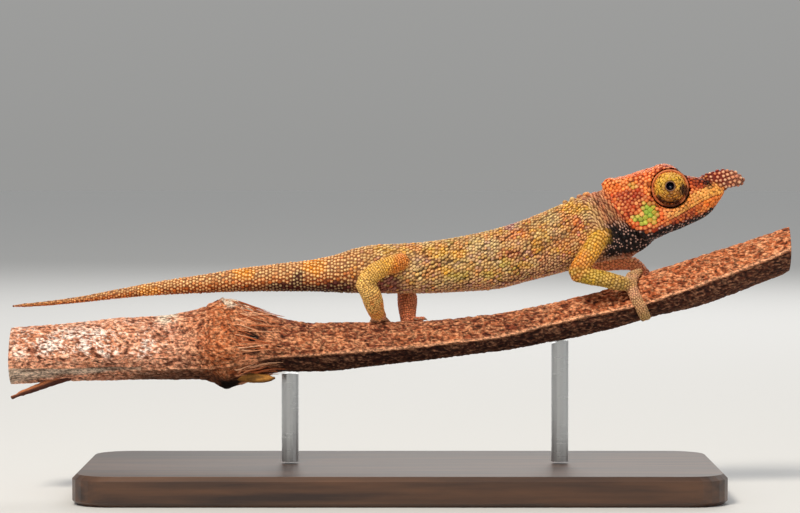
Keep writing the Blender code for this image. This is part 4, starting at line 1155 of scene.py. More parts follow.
def lattice(rings, part, flank_jitter, draws):
    """Points in rows round a tube: as many to a row as its girth takes, every second row half a
    step on, and rows a pitch times sin 60° apart. Each point is off its place at random, more so on
    the flanks than on the tail."""
    middles = rings.mean(axis=1)
    along = travelled(middles)
    found, place, row = [], 0.2, 0
    while place < along[-1] - 0.1:
        i = min(np.searchsorted(along, place), len(along) - 1)
        t = (place - along[i - 1]) / max(along[i] - along[i - 1], 1e-9)
        ring = rings[i - 1] + (rings[i] - rings[i - 1]) * t
        ring = np.concatenate([ring, ring[:1]])
        round_it = travelled(ring)
        girth = round_it[-1]
        pitch = pitch_at(ring.mean(axis=0)[None], np.array([part]))[0]
        jitter = ROW_JITTER + (flank_jitter - ROW_JITTER) * ramp(ring[0, 0], -12, -4)
        many = max(5, round(girth / pitch))
        steps = (np.arange(many) + 0.5 * (row % 2)) / many
        steps = (steps * girth + draws.normal(0, jitter * pitch, many)) % girth
        on_ring = np.column_stack([np.interp(steps, round_it, ring[:, k]) for k in range(3)])
        ahead = unit(middles[i] - middles[i - 1])
        found.append(on_ring + draws.normal(0, jitter * pitch * 0.7, (many, 1)) * ahead)
        place += pitch * 0.866
        row += 1
    return np.concatenate(found)


def well_spaced(points, reach, kept_free=0):
    """Keeps a point if no kept one lies within its reach, in the order given. The first
    kept_free are kept whatever their spacing."""
    keys = np.floor(points / reach.max()).astype(int).tolist()
    around = [(a - 1, b - 1, c - 1) for a, b, c in np.ndindex(3, 3, 3)]
    boxes, kept = {}, []
    for i, ((p, q, r), (x, y, z), limit) in enumerate(zip(keys, points.tolist(),
                                                          (reach**2).tolist())):
        taken = i >= kept_free and any(
            (u - x) ** 2 + (v - y) ** 2 + (w - z) ** 2 < limit
            for a, b, c in around for u, v, w in boxes.get((p + a, q + b, r + c), ()))
        if not taken:
            kept.append(i)
            boxes.setdefault((p, q, r), []).append((x, y, z))
    return np.array(kept, int)


def relaxed(points, fixed, pitch, surface, rounds):
    """Moves the points after the first fixed ones apart: each is pushed off its neighbours by what
    their distance lacks of a pitch, then set back on the skin."""
    for _ in range(rounds):
        tree = tree_of(points)
        moved = points.copy()
        for i in range(fixed, len(points)):
            push = np.zeros(3)
            for place, _, distance in tree.find_n(points[i], 7)[1:]:
                lack = pitch[i] * 1.05 - distance
                if lack > 0 and distance > 1e-6:
                    push += (points[i] - np.array(place)) / distance * lack * 0.35
            moved[i] += push
        moved[fixed:], _ = surface.nearest(moved[fixed:])
        points = moved
    return points


def mouth_rows(surface):
    """Rows of scales along the upper and the lower lip, from the snout back to the mouth's
    corner, on both sides."""
    line = np.asarray(MOUTH_LINE)
    along = travelled(line)
    steps = np.arange(along[1] * 0.6, along[-1] - 0.4, coat().lip_pitch / MM)
    x, z = (np.interp(steps, along, line[:, k]) for k in (0, 1))
    hits = [surface.sheet.ray_cast((px, side * 3.2, pz + over), (0, -side, 0))[0]
            for side in (-1, 1) for over in (0.27, -0.27) for px, pz in zip(x, z)]
    return np.array([hit for hit in hits if hit is not None])


def nape_row(surface):
    """The cones' roots along the middle of the nape."""
    return np.array([surface.sheet.ray_cast((x, 0.0, 60.0), (0, 0, -1))[0] for x in NAPE_XS])


def scale_roots(surface, chart, lofts, draws):
    """Where every scale grows: staggered rows round trunk and legs, rows of lip scales, the nape's
    cones, and what these leave free, filled at random and spread evenly. Gives the roots, their
    pitches and which are cones."""
    lips, cones = mouth_rows(surface), nape_row(surface)
    roots = [lips, cones]
    pitches = [np.full(len(lips), coat().lip_pitch / MM), np.full(len(cones), 2 * CONE[0])]
    for name, rings in lofts:
        if name not in ("trunk", *LIMBS) or len(rings) < 40:
            continue
        part = PARTS.index(name)
        jitter, reach = (ROW_JITTER, 0.30) if part else (FLANK_JITTER, 0.36)
        points, away = surface.nearest(lattice(rings, part, jitter, draws))
        points = points[(chart.parts[chart.nearest(points)] == part) & (away < reach)]
        roots.append(points)
        pitches.append(pitch_at(points, np.full(len(points), part)))
    roots, pitches = np.concatenate(roots), np.concatenate(pitches)
    kept = well_spaced(roots, pitches * 0.66, len(lips) + len(cones))
    roots, pitches = roots[kept], pitches[kept]
    fixed = len(roots)
    in_socket = ((side_off(surface.points, *EYE_CENTRE) < SOCKET_RADIUS + 0.10)
                 & (np.abs(surface.points[:, 1]) > 0.8))
    order = draws.permutation(np.flatnonzero(~in_socket))
    free_pitch = pitch_at(surface.points[order], surface.parts[order])
    large_first = np.argsort(-np.round(free_pitch, 1), kind="stable")
    free, free_pitch = surface.points[order[large_first]], free_pitch[large_first]
    kept = well_spaced(np.concatenate([roots, free]),
                       np.concatenate([pitches * 0.1, free_pitch * 0.80]), fixed)
    spare = kept[kept >= fixed] - fixed
    roots = np.concatenate([roots, free[spare]])
    pitches = np.concatenate([pitches, free_pitch[spare]])
    cones = slice(len(lips), len(lips) + len(cones))
    return relaxed(roots, fixed, pitches, surface, 12), pitches, cones


def crowding(points, pitch):
    """Half the mean distance to the three nearest neighbours, kept near half a pitch."""
    tree = tree_of(points)
    near = np.array([[hit[2] for hit in tree.find_n(p, 4)[1:]] for p in points])
    return np.clip(near.mean(axis=1), 0.78 * pitch, 1.12 * pitch) / 2


def frames(normals, lies):
    """For each scale the direction of its length, which is the lie laid flat on the skin, that
    across it, and the skin's normal."""
    normals = unit(normals)
    length = unit(lies - normals * np.einsum("ij,ij->i", lies, normals)[:, None])
    return length, np.cross(normals, length), normals


def add_scales(name, roots, axes, reach, rise, colours, places, draws, long, lean=0.10):
    """Scales as low closed domes. Ring k lies at its share of the reach round the root, long times
    as far along the lie and long to the power 0.4 less far across it, and at its share of the rise
    over the skin. A point closes the top, and a flat octagon sunk in the skin the bottom. Each
    corner's reach varies a little. The bake map has a disc for each scale at its place."""
    number = len(roots)
    length, across, normal = axes
    long = np.broadcast_to(long, number)[:, None]
    turn = turns(SIDES) + np.pi / SIDES
    uneven = 1 + draws.normal(0, 0.055, (number, SIDES))
    rings = []
    for far, high in DOME:
        r = far * reach[:, None] * (uneven if far > 0.6 else 1)
        shift = lean * reach * max(high, 0)
        rings.append(roots[:, None]
                     + length[:, None] * (long * r * np.cos(turn) + shift[:, None])[..., None]
                     + across[:, None] * (r * np.sin(turn) / long**0.4)[..., None]
                     + normal[:, None] * (high * rise)[:, None, None])
    top = roots + normal * rise[:, None] + length * (lean * reach)[:, None]
    points = np.concatenate([*rings, top[:, None]], axis=1)
    per = points.shape[1]
    ring, after = np.arange(SIDES), (np.arange(SIDES) + 1) % SIDES
    caps = np.stack([ring + 2 * SIDES, after + 2 * SIDES, np.full(SIDES, per - 1)], axis=1)
    first = (np.arange(number) * per)[:, None, None]
    faces = [(ring_quads(3, SIDES) + first).reshape(-1, 4), (caps + first).reshape(-1, 3),
             (ring[None, None, ::-1] + first).reshape(-1, SIDES)]
    mesh = mesh_of(name, points.reshape(-1, 3), faces)
    # Colours from each dome's foot to its top: the gap colour on the sunk ring, the ground, a mix
    # towards the top colour, and the top colour at the top point. The dark foot is partly painted
    # shade and the lighter top partly painted highlight.
    ground, tip, gap = (values[:, None] for values in colours)
    tints = np.concatenate([*(np.repeat(values, SIDES, axis=1) for values in (
        gap, ground, 0.68 * ground + 0.32 * tip)), tip], axis=1)
    piece = add_piece(name, mesh, tints.reshape(-1, 3), finish("keratin scales"))
    disc = np.column_stack([np.cos(turn), np.sin(turn)])
    flat = np.concatenate([disc * far for far, _ in DOME] + [np.zeros((1, 2))]) * PATCH
    on_map = (places[:, None] + flat).reshape(-1, 2)
    spare = (places[:, None] + disc[::-1] * PATCH * 0.2 + (0, 2.2 * PATCH)).reshape(-1, 2)
    corners = np.concatenate([*(on_map[f.ravel()] for f in faces[:2]), spare])
    layer = mesh.uv_layers.new(name="OFBake")
    layer.uv.foreach_set("vector", corners.astype(np.float32).ravel())
    return piece


def varied(values, parts, x, draws):
    """One colour set for each scale: its markings, lighter or darker at random, mixed with one of
    the animal's other colours on the flanks and of its oranges and reds on the head, some with a
    pale top that is partly painted highlight, and the rest with a slightly lighter top as painted
    highlight."""
    number = len(values)
    ground, tip, gap = values[:, 0:3], values[:, 3:6], values[:, 6:9]
    light = np.exp(draws.normal(0, 0.17, number))[:, None]
    flank, head = (np.array([colour(n) for n in names]) for names in (FLANK_MIX, HEAD_MIX))
    on_head = parts == HEAD_PART
    drawn = draws.integers(0, len(flank), number)
    other = np.where(on_head[:, None], head[drawn], flank[drawn])
    on_flank = (parts == 0) * band(x, -10, -2, 24.5, 27)
    lit = ramp(ground.max(axis=1), 0.03, 0.15)
    mix = (draws.random(number) ** 2 * (0.50 * on_flank + 0.60 * on_head * lit))[:, None]
    ground = (ground + (other - ground) * mix) * light
    tip = tip + (other * 1.1 - tip) * mix * 0.6
    # Scales with a pale top keep it, partly painted highlight; the others get a top 1.15 times
    # their ground, which is painted highlight.
    tipped = (draws.random(number) < values[:, 9])[:, None]
    tip = np.where(tipped, tip * np.exp(draws.normal(0, 0.16, number))[:, None], ground * 1.15)
    return ground, tip, gap * light


# Materials.

# Surfaces whose colour is their tint attribute, with a grain in it and a bump of the same grain:
# roughness, specular level, stretch along x, the grain in mm, its detail and roughness, the span
# of it that is used, the colour's factor over that span, and the bump's strength and height in mm.
FINISHES = {
    # Horny scales: satin. Their own grain is too fine to show and is drawn at 0.09 mm.
    "keratin scales": (0.46, 0.32, 1.0, 0.09, 3.0, 0.5, 0.3, 0.7, 0.86, 1.14, 0.25, 0.036),
    # The soft skin between scales: matt and a little creased.
    "soft skin": (0.62, 0.32, 1.0, 0.16, 3.0, 0.5, 0.3, 0.7, 0.82, 1.18, 0.35, 0.064),
    # Claws: smooth horn with a gloss.
    "claw horn": (0.28, 0.32, 1.0, 0.12, 3.0, 0.5, 0.3, 0.7, 0.90, 1.10, 0.12, 0.048),
    # Scurfy bark of a thin dry stem: matt, in flakes that are drawn out along it.
    "scurfy bark": (0.86, 0.30, 0.55, 0.27, 4.0, 0.65, 0.4, 0.6, 0.32, 1.62, 0.70, 0.12),
    # Torn fibres and dry scales of bark: matt and rough.
    "torn bark fibre": (0.80, 0.32, 1.0, 0.20, 3.0, 0.5, 0.3, 0.7, 0.75, 1.25, 0.40, 0.08),
}


def add(tree, kind, inputs, **settings):
    """Adds a shader node, sets its properties, and sets its inputs, or links them to a socket or to
    a node's first output."""
    node = tree.nodes.new("ShaderNode" + kind)
    for key, value in settings.items():
        setattr(node, key, value)
    for key, value in inputs.items():
        if isinstance(value, bpy.types.Node):
            value = value.outputs[0]
        if isinstance(value, bpy.types.NodeSocket):
            tree.links.new(value, node.inputs[key])
        else:
            node.inputs[key].default_value = value
    return node


def new_tree(name):
    """The node tree, still empty, of the material with that name, made if there is none yet."""
    made = bpy.data.materials.get(name) or bpy.data.materials.new(name)
    made.use_nodes = True
    made.node_tree.nodes.clear()
    return made.node_tree


def shaded(name, inputs):
    """Ends a material with one Principled shader, whose sockets are set or linked from inputs."""
    made = bpy.data.materials[name]
    shader = add(made.node_tree, "BsdfPrincipled", inputs)
    add(made.node_tree, "OutputMaterial", {"Surface": shader})
    return made


def drawn_out(tree, stretch):
    """Object coordinates, in which a pattern is drawn out along an axis with a stretch below 1."""
    place = add(tree, "TexCoord", {}).outputs["Object"]
    return add(tree, "Mapping", {"Vector": place, "Scale": stretch})


def per_mm(millimetres):
    """A texture scale whose pattern repeats about every so many millimetres."""
    return 1 / (millimetres * MM)


def finish(name):
    """The surface of that name from the table of finishes, made when it is first asked for."""
    if name in bpy.data.materials:
        return bpy.data.materials[name]
    (rough, gloss, stretch, grain, detail, grain_rough, low, high, dark, light, strength,
     height) = FINISHES[name]
    tree = new_tree(name)
    tint = add(tree, "Attribute", {}, attribute_name="tint").outputs["Color"]
    speck = add(tree, "TexNoise", {"Vector": drawn_out(tree, (stretch, 1, 1)), "Detail": detail,
                                   "Scale": per_mm(grain), "Roughness": grain_rough})
    shade = add(tree, "MapRange", {"Value": speck, "From Min": low, "From Max": high,
                                   "To Min": dark, "To Max": light})
    return shaded(name, {
        "Base Color": add(tree, "VectorMath", {0: tint, "Scale": shade}, operation="SCALE"),
        "Roughness": rough, "IOR": 1.45, "Specular IOR Level": gloss,
        "Normal": add(tree, "Bump", {"Strength": strength, "Distance": height * MM,
                                     "Height": speck})})


def cornea():
    """Wet cornea over the iris: smooth, with a clear coat that gives one sharp highlight."""
    if "wet cornea" in bpy.data.materials:
        return bpy.data.materials["wet cornea"]
    tint = add(new_tree("wet cornea"), "Attribute", {}, attribute_name="tint")
    return shaded("wet cornea", {
        "Base Color": tint.outputs["Color"], "Roughness": 0.12, "IOR": 1.38, "Coat Weight": 1.0,
        "Coat Roughness": 0.02, "Coat IOR": 1.38})


# Eyes and claws.

TURRET_SIDES = 120
LID_RINGS = 12  # rings of the rim of skin round the pupil
CORNEA_BULGE = 0.46


def turret_point(lean):
    """Radius and height of the turret's outside at an angle from its foot: the radius times cos to
    the power 0.8, the height times sin to the power 1.05."""
    return (TURRET_RADIUS * np.cos(lean) ** 0.8, TURRET_HEIGHT * np.sin(lean) ** 1.05)


def axis_at(height):
    """Where a turret's axis lies in side view at a height over its foot: the eye's centre, moved by
    the height's share of the eye's look."""
    share = np.clip(height / TURRET_HEIGHT, 0, None)
    return EYE_CENTRE[0] + EYE_LOOK[0] * share, EYE_CENTRE[1] + EYE_LOOK[1] * share


def turned(profile, side, sides):
    """A profile of (radius, height) turned round the axis that points out to one side."""
    turn = turns(sides)
    radius, height = (column[:, None] for column in profile.T)
    x, z = axis_at(height)
    return np.stack([x + radius * np.cos(turn), np.repeat(side * (EYE_OUT + height), sides, 1),
                     z + radius * np.sin(turn)], axis=-1)


def turret_profile():
    """A fold of skin that fills the socket, a thin groove, the turret's outside with low rings of
    folds, the rim round the pupil and the inside."""
    bend = np.linspace(np.pi * 0.02, np.pi * 0.95, 14)
    fold = np.column_stack([2.36 + 0.17 * np.cos(bend), 0.42 + 0.20 * np.sin(bend)])
    fold = np.concatenate([[(2.53, -0.10)], fold, [(2.18, 0.30)]])
    lean = np.radians(np.linspace(9, 76, 60))
    radius, height = turret_point(lean)
    wave = 0.022 * np.sin(lean * 40) * ramp(lean, 0.1, 0.3)
    depth = coat().depth / MM
    outside = np.column_stack([radius + wave * np.cos(lean) - depth * 0.5,
                               height + wave * np.sin(lean) - depth * 0.3])
    bend = np.linspace(0.1, np.pi, LID_RINGS)
    rim = np.column_stack([PUPIL_OPENING + 0.06 + 0.06 * np.cos(bend),
                           TURRET_HEIGHT * 0.985 - 0.08 + 0.08 * np.sin(bend)])
    lean = np.radians(np.linspace(60, 4, 14))
    inside = np.column_stack([(TURRET_RADIUS - TURRET_WALL) * np.cos(lean) ** 0.8,
                              (TURRET_HEIGHT - TURRET_WALL) * np.sin(lean) ** 1.05])
    return np.concatenate([fold, outside, rim, inside]), len(fold), len(fold) + len(outside)


def turret_colours(points):
    """Gold above, orange brown below and in front, in uneven rings, with a dark blotch in front and
    a dark crescent of painted shade along the lower edge."""
    x, y, z = points.T
    axis_x, axis_z = axis_at(np.minimum(np.abs(y) - EYE_OUT, TURRET_HEIGHT))
    right, up = x - axis_x, z - axis_z
    away = np.hypot(right, up)
    low = ramp(0.35 * right - up + 0.7 * noise(points, 0.7, 51), -0.5, 1.6)
    ring = 0.5 + 0.5 * np.sin(away * 2 * np.pi / 0.40 + 0.6 * noise(points, 0.8, 52))
    ragged = 0.12 * noise(points, 0.4, 54)
    blotch = fade(np.hypot((right - 1.72) / 0.42, (up + 0.25) / 0.72) + ragged, 0.8, 1.2)
    arc = band(np.degrees(np.arctan2(up, right)), -158, -140, -62, -44)
    crescent = band(away + ragged, 1.78, 1.90, 2.10, 2.20) * arc
    return laid("turret_gold",
                (colour("olive") * 1.1, ramp(noise(points, 0.5, 53), 0.0, 0.6) * 0.6),
                ("head_orange", low * 0.35),
                ("turret_brown", 0.22 * low + (0.40 + 0.30 * low) * ring),
                ("head_orange", ramp(away, 1.75, 2.1) * 0.35),
                # One dark colour paints the blotch in front and, as painted shade, the crescent
                # along the lower edge.
                ("turret_dark", np.maximum(blotch * 0.9, crescent * 0.92)),
                (colour("turret_brown") * 0.4, fade(away, 0.68, 0.78) * 0.7))


def make_turret(name, side):
    """The turret's wall and the fold of skin round its foot, as a closed ring of rings."""
    profile, end_fold, end_outside = turret_profile()
    points = turned(profile, side, TURRET_SIDES).reshape(-1, 3)
    quads = ring_quads(len(profile), TURRET_SIDES, closed=True)
    # The wall, seen between the granules, at half its colours: painted shade between them.
    tints = turret_colours(points) * 0.50
    end = end_fold * TURRET_SIDES
    folded = points[:end]
    # Painted shade on the fold's lower front, in the groove colour.
    low_front_shade = ramp(folded[:, 0] - EYE_CENTRE[0] - folded[:, 2] + EYE_CENTRE[1], -1.5, 2.5)
    low_front_shade = low_front_shade * ramp(noise(folded, 0.5, 56), -0.5, 0.1)
    tints[:end] = laid("socket", ("head_red", ramp(noise(folded, 0.5, 55), 0.0, 0.6) * 0.5),
                       ("groove", low_front_shade * 0.8))
    # Painted shade along the fold's edges, where it meets head and turret.
    tints[:end][np.repeat(profile[:end_fold, 1], TURRET_SIDES) < 0.47] = colour("groove")
    rim, inside = end_outside * TURRET_SIDES, (end_outside + LID_RINGS) * TURRET_SIDES
    tints[rim:inside] = colour("lid_edge")
    # Painted shade inside the turret.
    tints[inside:] = colour("groove")
    mesh = mesh_of(name, points, outward(points, [quads]))
    return add_piece(name, mesh, tints, finish("soft skin"))


def make_granules(name, side, draws):
    """Rows of granules round the turret from its foot to the rim of the pupil."""
    pitch = coat().turret_pitch / MM
    radius, height = turret_point(np.radians(np.linspace(10, 75, 400)))
    along = travelled(np.column_stack([radius, height]))
    axis = np.array([0.0, side, 0.0])
    roots, normals, lies = [], [], []
    for row, place in enumerate(np.arange(0.10, along[-1] - 0.05, pitch * 0.88)):
        (r, ahead_r), (h, ahead_h) = (np.interp((place, place + 0.05), along, values)
                                      for values in (radius, height))
        ahead = unit(np.array([ahead_r - r, ahead_h - h]))
        many = max(8, round(2 * np.pi * r / (pitch * 1.15)))
        turn = (np.arange(many) + 0.5 * (row % 2)) / many * 2 * np.pi
        turn = turn + draws.normal(0, 0.16 * pitch / r, many)
        out = np.column_stack([np.cos(turn), np.zeros(many), np.sin(turn)])
        x, z = axis_at(h)
        wobble = draws.normal(0, 0.05, (many, 1))
        roots.append(np.array([x, side * EYE_OUT, z]) + out * (r - 0.05 + wobble)
                     + axis * (h - 0.03))
        normals.append(out * ahead[1] - axis * ahead[0])
        lies.append(np.cross(axis, out))
    roots, normals, lies = map(np.concatenate, (roots, normals, lies))
    number = len(roots)
    ground = turret_colours(roots) * 1.05 * np.exp(draws.normal(0, 0.13, number))[:, None]
    # Pale tops on some granules, partly painted highlight; the gaps are a darker copy of the ground
    # as painted shade.
    tip = laid(ground, ("cream", 0.30 * draws.random(number) * (ground[:, 0] > 0.1)))
    turn = np.arctan2(roots[:, 2] - EYE_CENTRE[1], roots[:, 0] - EYE_CENTRE[0]) / (2 * np.pi)
    places = np.column_stack([0.02 + 0.96 * (turn + 0.5), np.abs(roots[:, 1]) / 5])
    reach = pitch * 0.56 * np.exp(draws.normal(0, 0.12, number))
    return add_scales(name, roots, frames(normals, lies), reach, reach * 0.50,
                      (ground, tip, ground * 0.30), places, draws, 1.18, 0.0)


def make_eyeball(name, side):
    """A ball with a bulging cornea in the opening, nearly black, with a narrow brown iris."""
    lean = np.linspace(0.02, np.pi - 0.02, 90)
    middle = TURRET_HEIGHT - TURRET_WALL - 0.12 - EYEBALL_RADIUS
    radius = EYEBALL_RADIUS * np.sin(lean)
    bulge = CORNEA_BULGE * bell(radius, CORNEA_BULGE) * (lean > np.pi / 2)
    profile = np.column_stack([radius, middle - EYEBALL_RADIUS * np.cos(lean) + bulge])
    rings = turned(profile, side, 64)
    share = np.maximum(profile[:, 1] / TURRET_HEIGHT, 0)[:, None]
    for k, look in ((0, EYE_LOOK[0]), (2, EYE_LOOK[1])):
        rings[..., k] += look * (EYEBALL_LOOK - share)
    points, faces = closed_tube(rings)
    centre = np.array(EYE_CENTRE) + np.array(EYE_LOOK) * EYEBALL_LOOK
    off = points[:, [0, 2]] - centre - np.array(EYE_LOOK) * (1 - EYEBALL_LOOK) * 0.9
    away = np.hypot(*off.T)
    iris = colour("iris") * (0.8 + 0.4 * noise(points, 0.12, 61))[:, None]
    tints = laid("pupil", (iris, ramp(away, 0.47, 0.52)), ("eye_rim", ramp(away, 0.55, 0.66)))
    return add_piece(name, mesh_of(name, points, faces), tints, cornea())


def make_claws():
    """Curved claws, each a tube along its bent middle line that narrows to the tip."""
    tubes, shades = [], []
    for foot in FEET:
        for path in toe_paths(foot)[1]:
            tubes.append(closed_tube(tube_rings(path, 14, 12, (0.0, 0.5))))
            along = np.linalg.norm(tubes[-1][0] - path[0, :3], axis=1)
            shades.append(laid("claw", ("claw_tip", ramp(along, 0.3, 1.1))))
    return add_tubes("claws", tubes, shades, finish("claw horn"))


# Branch.

BARE_STRIP = ((-54.0, 15.8, 1.35), (-50.0, 15.95, 1.05), (-46.2, 16.35, 0.65),
              (-40.0, 16.75, 0.35), (-35.4, 17.0, 0.08))  # x, z, half height of the bare wood
RIDGE = ((-54.0, 17.25), (-40.0, 16.9), (-30.0, 17.0), (-24.0, 17.3), (-17.5, 18.6),
         (-13.5, 18.8), (-8.1, 19.2), (0.0, 19.8), (8.1, 20.65), (13.5, 21.4), (21.6, 23.3),
         (27.0, 24.4), (33.75, 26.1), (40.5, 28.4), (45.9, 30.3), (51.3, 32.6), (54.0, 33.8))
LICHEN = ((-31.4, 23.8, 1.9), (-22.9, 26.0, 1.8), (-20.0, 25.3, 1.7))  # x, z, reach
TURNED = np.array([[0.8, 0.36, 0.48], [-0.6, 0.48, 0.64], [0.0, -0.8, 0.6]])  # a plain rotation
BRANCH_END = 52.5
SCURF_HEIGHT, WAVE_HEIGHT, WRINKLE_HEIGHT, FIBRE_HEIGHT = 0.15, 0.10, 0.30, 0.36
SPLINTERS = 150
SPLINTER_HUES = ("#D9936A", "#A85A34", "#C2663A", "#E8B08A")


def creased(points, size, seed):
    """Noise folded at zero into sharp crests: 0.5 less its size."""
    return 0.5 - np.abs(noise(points, size, seed))


def bare_wood(points):
    """1 on the strip of bare wood, 0 on bark."""
    x, y, z = points.T
    strip = np.array(BARE_STRIP)
    half = np.interp(x, strip[:, 0], strip[:, 2])
    off = np.abs(z - height_on(strip, x) + 0.12 * noise(points * (0.3, 1, 1), 0.8, 71))
    return fade(off, half * 0.8, half + 0.12) * (y < 0) * (x < -34.8)


def over_ridge(points):
    """How high a point is over the ridge along the near side, which waves a little."""
    return (points[:, 2] - height_on(RIDGE, points[:, 0])
            + 0.15 * noise(points * (0.35, 1, 1), 1.2, 78))


def scurf_of(points):
    """Short ridges that branch and lie along the stem: 1 less 2.2 times the size of noise on places
    that other noise has moved, at two sizes."""
    moved = points * (0.55, 1, 1) + np.column_stack(
        [0.22 * noise(points, 0.6, k) for k in (70, 79, 80)])
    large = 1 - 2.2 * np.abs(noise(moved, 0.36, 72))
    small = 1 - 2.2 * np.abs(noise(moved @ TURNED, 0.23, 73))
    return 0.6 * large + 0.4 * small


def knot_pit(points):
    """1 in the middle of the dark pit beside the knot, a bell in x and in z on the near side."""
    x, y, z = points.T
    return bell(x + 19.6, 0.75) * bell(z - 21.3, 0.5) * (y < 0)


def bark_relief(points):
    """How far the bark stands out: scurf, low waves, wrinkles round the knot and fibres beside it,
    a ridge along the near side with an undercut below, and a pit."""
    x, y, _ = points.T
    fibres = band(x, -22.4, -20.8, -17.6, -14.2)
    relief = (SCURF_HEIGHT * scurf_of(points)
              + WAVE_HEIGHT * noise(points * (0.5, 1, 1), 2.4, 74)
              + WRINKLE_HEIGHT * bell(x + 23.6, 3.2) * creased(points * (1.6, 0.7, 0.7), 1.5, 75))
    relief = (relief * (1 - 0.6 * fibres)
              + fibres * FIBRE_HEIGHT * creased(points * (0.16, 1, 1), 0.50, 76))
    over = over_ridge(points)
    edge = 0.26 * bell(over, 0.22) - 0.16 * bell(over + 0.50, 0.35)
    relief = relief + edge * (y < 0) * (1 - fibres * 0.6)
    bare = bare_wood(points)
    grain = creased(points * (0.10, 1, 1), 0.32, 77)
    return (relief - 0.5 * knot_pit(points)) * (1 - bare) + bare * (-0.30 + 0.10 * grain)


def paint_bark(points, relief):
    """Rust brown with pale raised scurf and dark cracks, which are partly painted highlight and
    shade by the relief: salmon with white specks at the left, browner in the middle, painted shade
    under the ridge and along the bottom, a pale line of painted highlight along the ridge, grey and
    straw on the bare strip, straw among the fibres with painted shade between them, a pit painted
    dark as shade, pale lichen by the knot."""
    x, y, z = points.T
    left, right = fade(x, -32, -24), ramp(x, 16, 30)
    scurf, over = scurf_of(points), over_ridge(points)
    # Painted shade on the face below the ridge.
    under = fade(over, -0.42, -0.12) * ramp(x, -21, -17)
    row = branch_row(x)
    level = (z - row[:, 2]) / (row[:, 1] - row[:, 2])
    zone = fade(x, -35, -29) * ramp(z, 18.0, 19.4) * (1 - 0.7 * ramp(z, 21.6, 22.8))
    flecks = ramp(scurf + 0.5 * noise(points, 1.7, 83), 0.30, 0.85) * zone
    fibres = band(x, -22.4, -20.8, -18.4, -15.4)
    lichen = np.max([fade(np.hypot(x - at_x, (z - at_z) * 1.6), reach * 0.4, reach)
                     for at_x, at_z, reach in LICHEN], axis=0)
    straw = laid("straw", ("straw_line",
                           ramp(noise(points * (0.08, 1, 1), 0.28, 85), -0.2, 0.7)))
    ground = laid(
        "rust", ("salmon", left * 0.85), ("warm_rust", right * 0.7),
        ("tan", ramp(noise(points, 2.6, 81), -0.1, 0.7) * 0.4),
        ("umber", ramp(noise(points, 1.5, 82), 0.1, 0.7) * 0.5),
        ("knot_rust", bell(x + 24.2, 3.0) * 0.5),
        # Pale raised scurf and dark cracks: the bark's own colours, and also painted highlight and
        # shade by the relief.
        ("scurf", ramp(scurf, 0.25, 0.85) * (0.58 + 0.14 * np.maximum(left, right))),
        ("pale_scurf", ramp(scurf, 0.25, 0.85) * left * 0.4),
        ("cracks", ramp(-scurf, -0.15, 0.45) * 0.88),
        # Painted shade below the ridge, lighter on the far side, with the scurf's colour in that
        # shade.
        ("under_ridge", under * np.where(y < 0, 0.88, 0.5)),
        ("under_scurf", under * ramp(scurf, 0.45, 0.9) * 0.42),
        # Painted highlight: a pale line along the ridge's edge on the near side.
        ("ridge", bell(over - 0.02, 0.20) * (y < 0) * (0.35 + 0.3 * ramp(x, -20, 0))),
        ("flecks", flecks * 0.85),
        # Painted shade along the bottom of the branch, nearly black under the knot.
        ("low_edge", fade(level, 0.06, 0.24) * band(x, -38, -34, -25, -23) * 0.7),
        ("torn", band(x, -25.2, -23.8, -20.6, -19.4) * fade(level, 0.06, 0.20)),
        # Raised fibres lighter, partly their own colour and partly painted highlight, with painted
        # shade between them.
        ("fibre", fibres * ramp(relief, 0.02, 0.2) * 0.7),
        ("fibre_gap", fibres * ramp(-relief, -0.04, 0.08) * 0.8),
        # Painted shade: the pit beside the knot is painted nearly black.
        ("pit", ramp(knot_pit(points), 0.3, 0.6)),
        ("lichen", lichen * ramp(noise(points, 0.45, 84), -0.35, 0.0) * 0.85),
        (straw, bare_wood(points)))
    return ground * np.exp(0.12 * noise(points, 0.25, 86))[:, None]


def make_branch():
    """Sections at even steps of x with the bark's relief added away from the middle line. Rings
    close in on the pith over each cut end, with low growth rings."""
    columns, sides = 560, 160
    xs = np.linspace(-BRANCH_END, BRANCH_END, columns)
    angles = np.linspace(0, 360, sides, endpoint=False)
    points = branch_point(np.repeat(xs, sides), np.tile(angles, columns))
    inside = BRANCH_END - np.abs(points[:, 0])
    relief = bark_relief(points) * ramp(inside, 0.0, 0.6) - 0.10
    rings = (points + branch_out(points) * relief[:, None]).reshape(columns, sides, 3)
    tints = paint_bark(points, relief + 0.06).reshape(columns, sides, 3)
    steps = np.linspace(1, 0.03, 14)[:, None, None]
    ends, end_tints = [], []
    for ring in (rings[0], rings[-1]):
        centre = ring.mean(axis=0)
        ends.append(centre + (ring - centre) * steps)
        growth = 0.5 + 0.5 * np.sin(steps[..., 0] * 34 + 0.8 * noise(ring, 1.5, 87)[None])
        wood = laid("end_wood", ("end_ring", growth)).reshape(*growth.shape, 3)
        wood = np.where(steps < 0.16, colour("pith"), wood)
        end_tints.append(np.where(steps > 0.93, colour("end_bark"), wood))
    rings = np.concatenate([ends[0][:0:-1], rings, ends[1][1:]])
    tints = np.concatenate([end_tints[0][:0:-1], tints, end_tints[1][1:]])
    tints = np.concatenate([tints.reshape(-1, 3), np.tile(colour("pith"), (2, 1))])
    mesh = mesh_of("branch", *closed_tube(rings))
    piece = add_piece("branch", mesh, tints, finish("scurfy bark"))
    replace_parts(piece, "perch")
    return piece


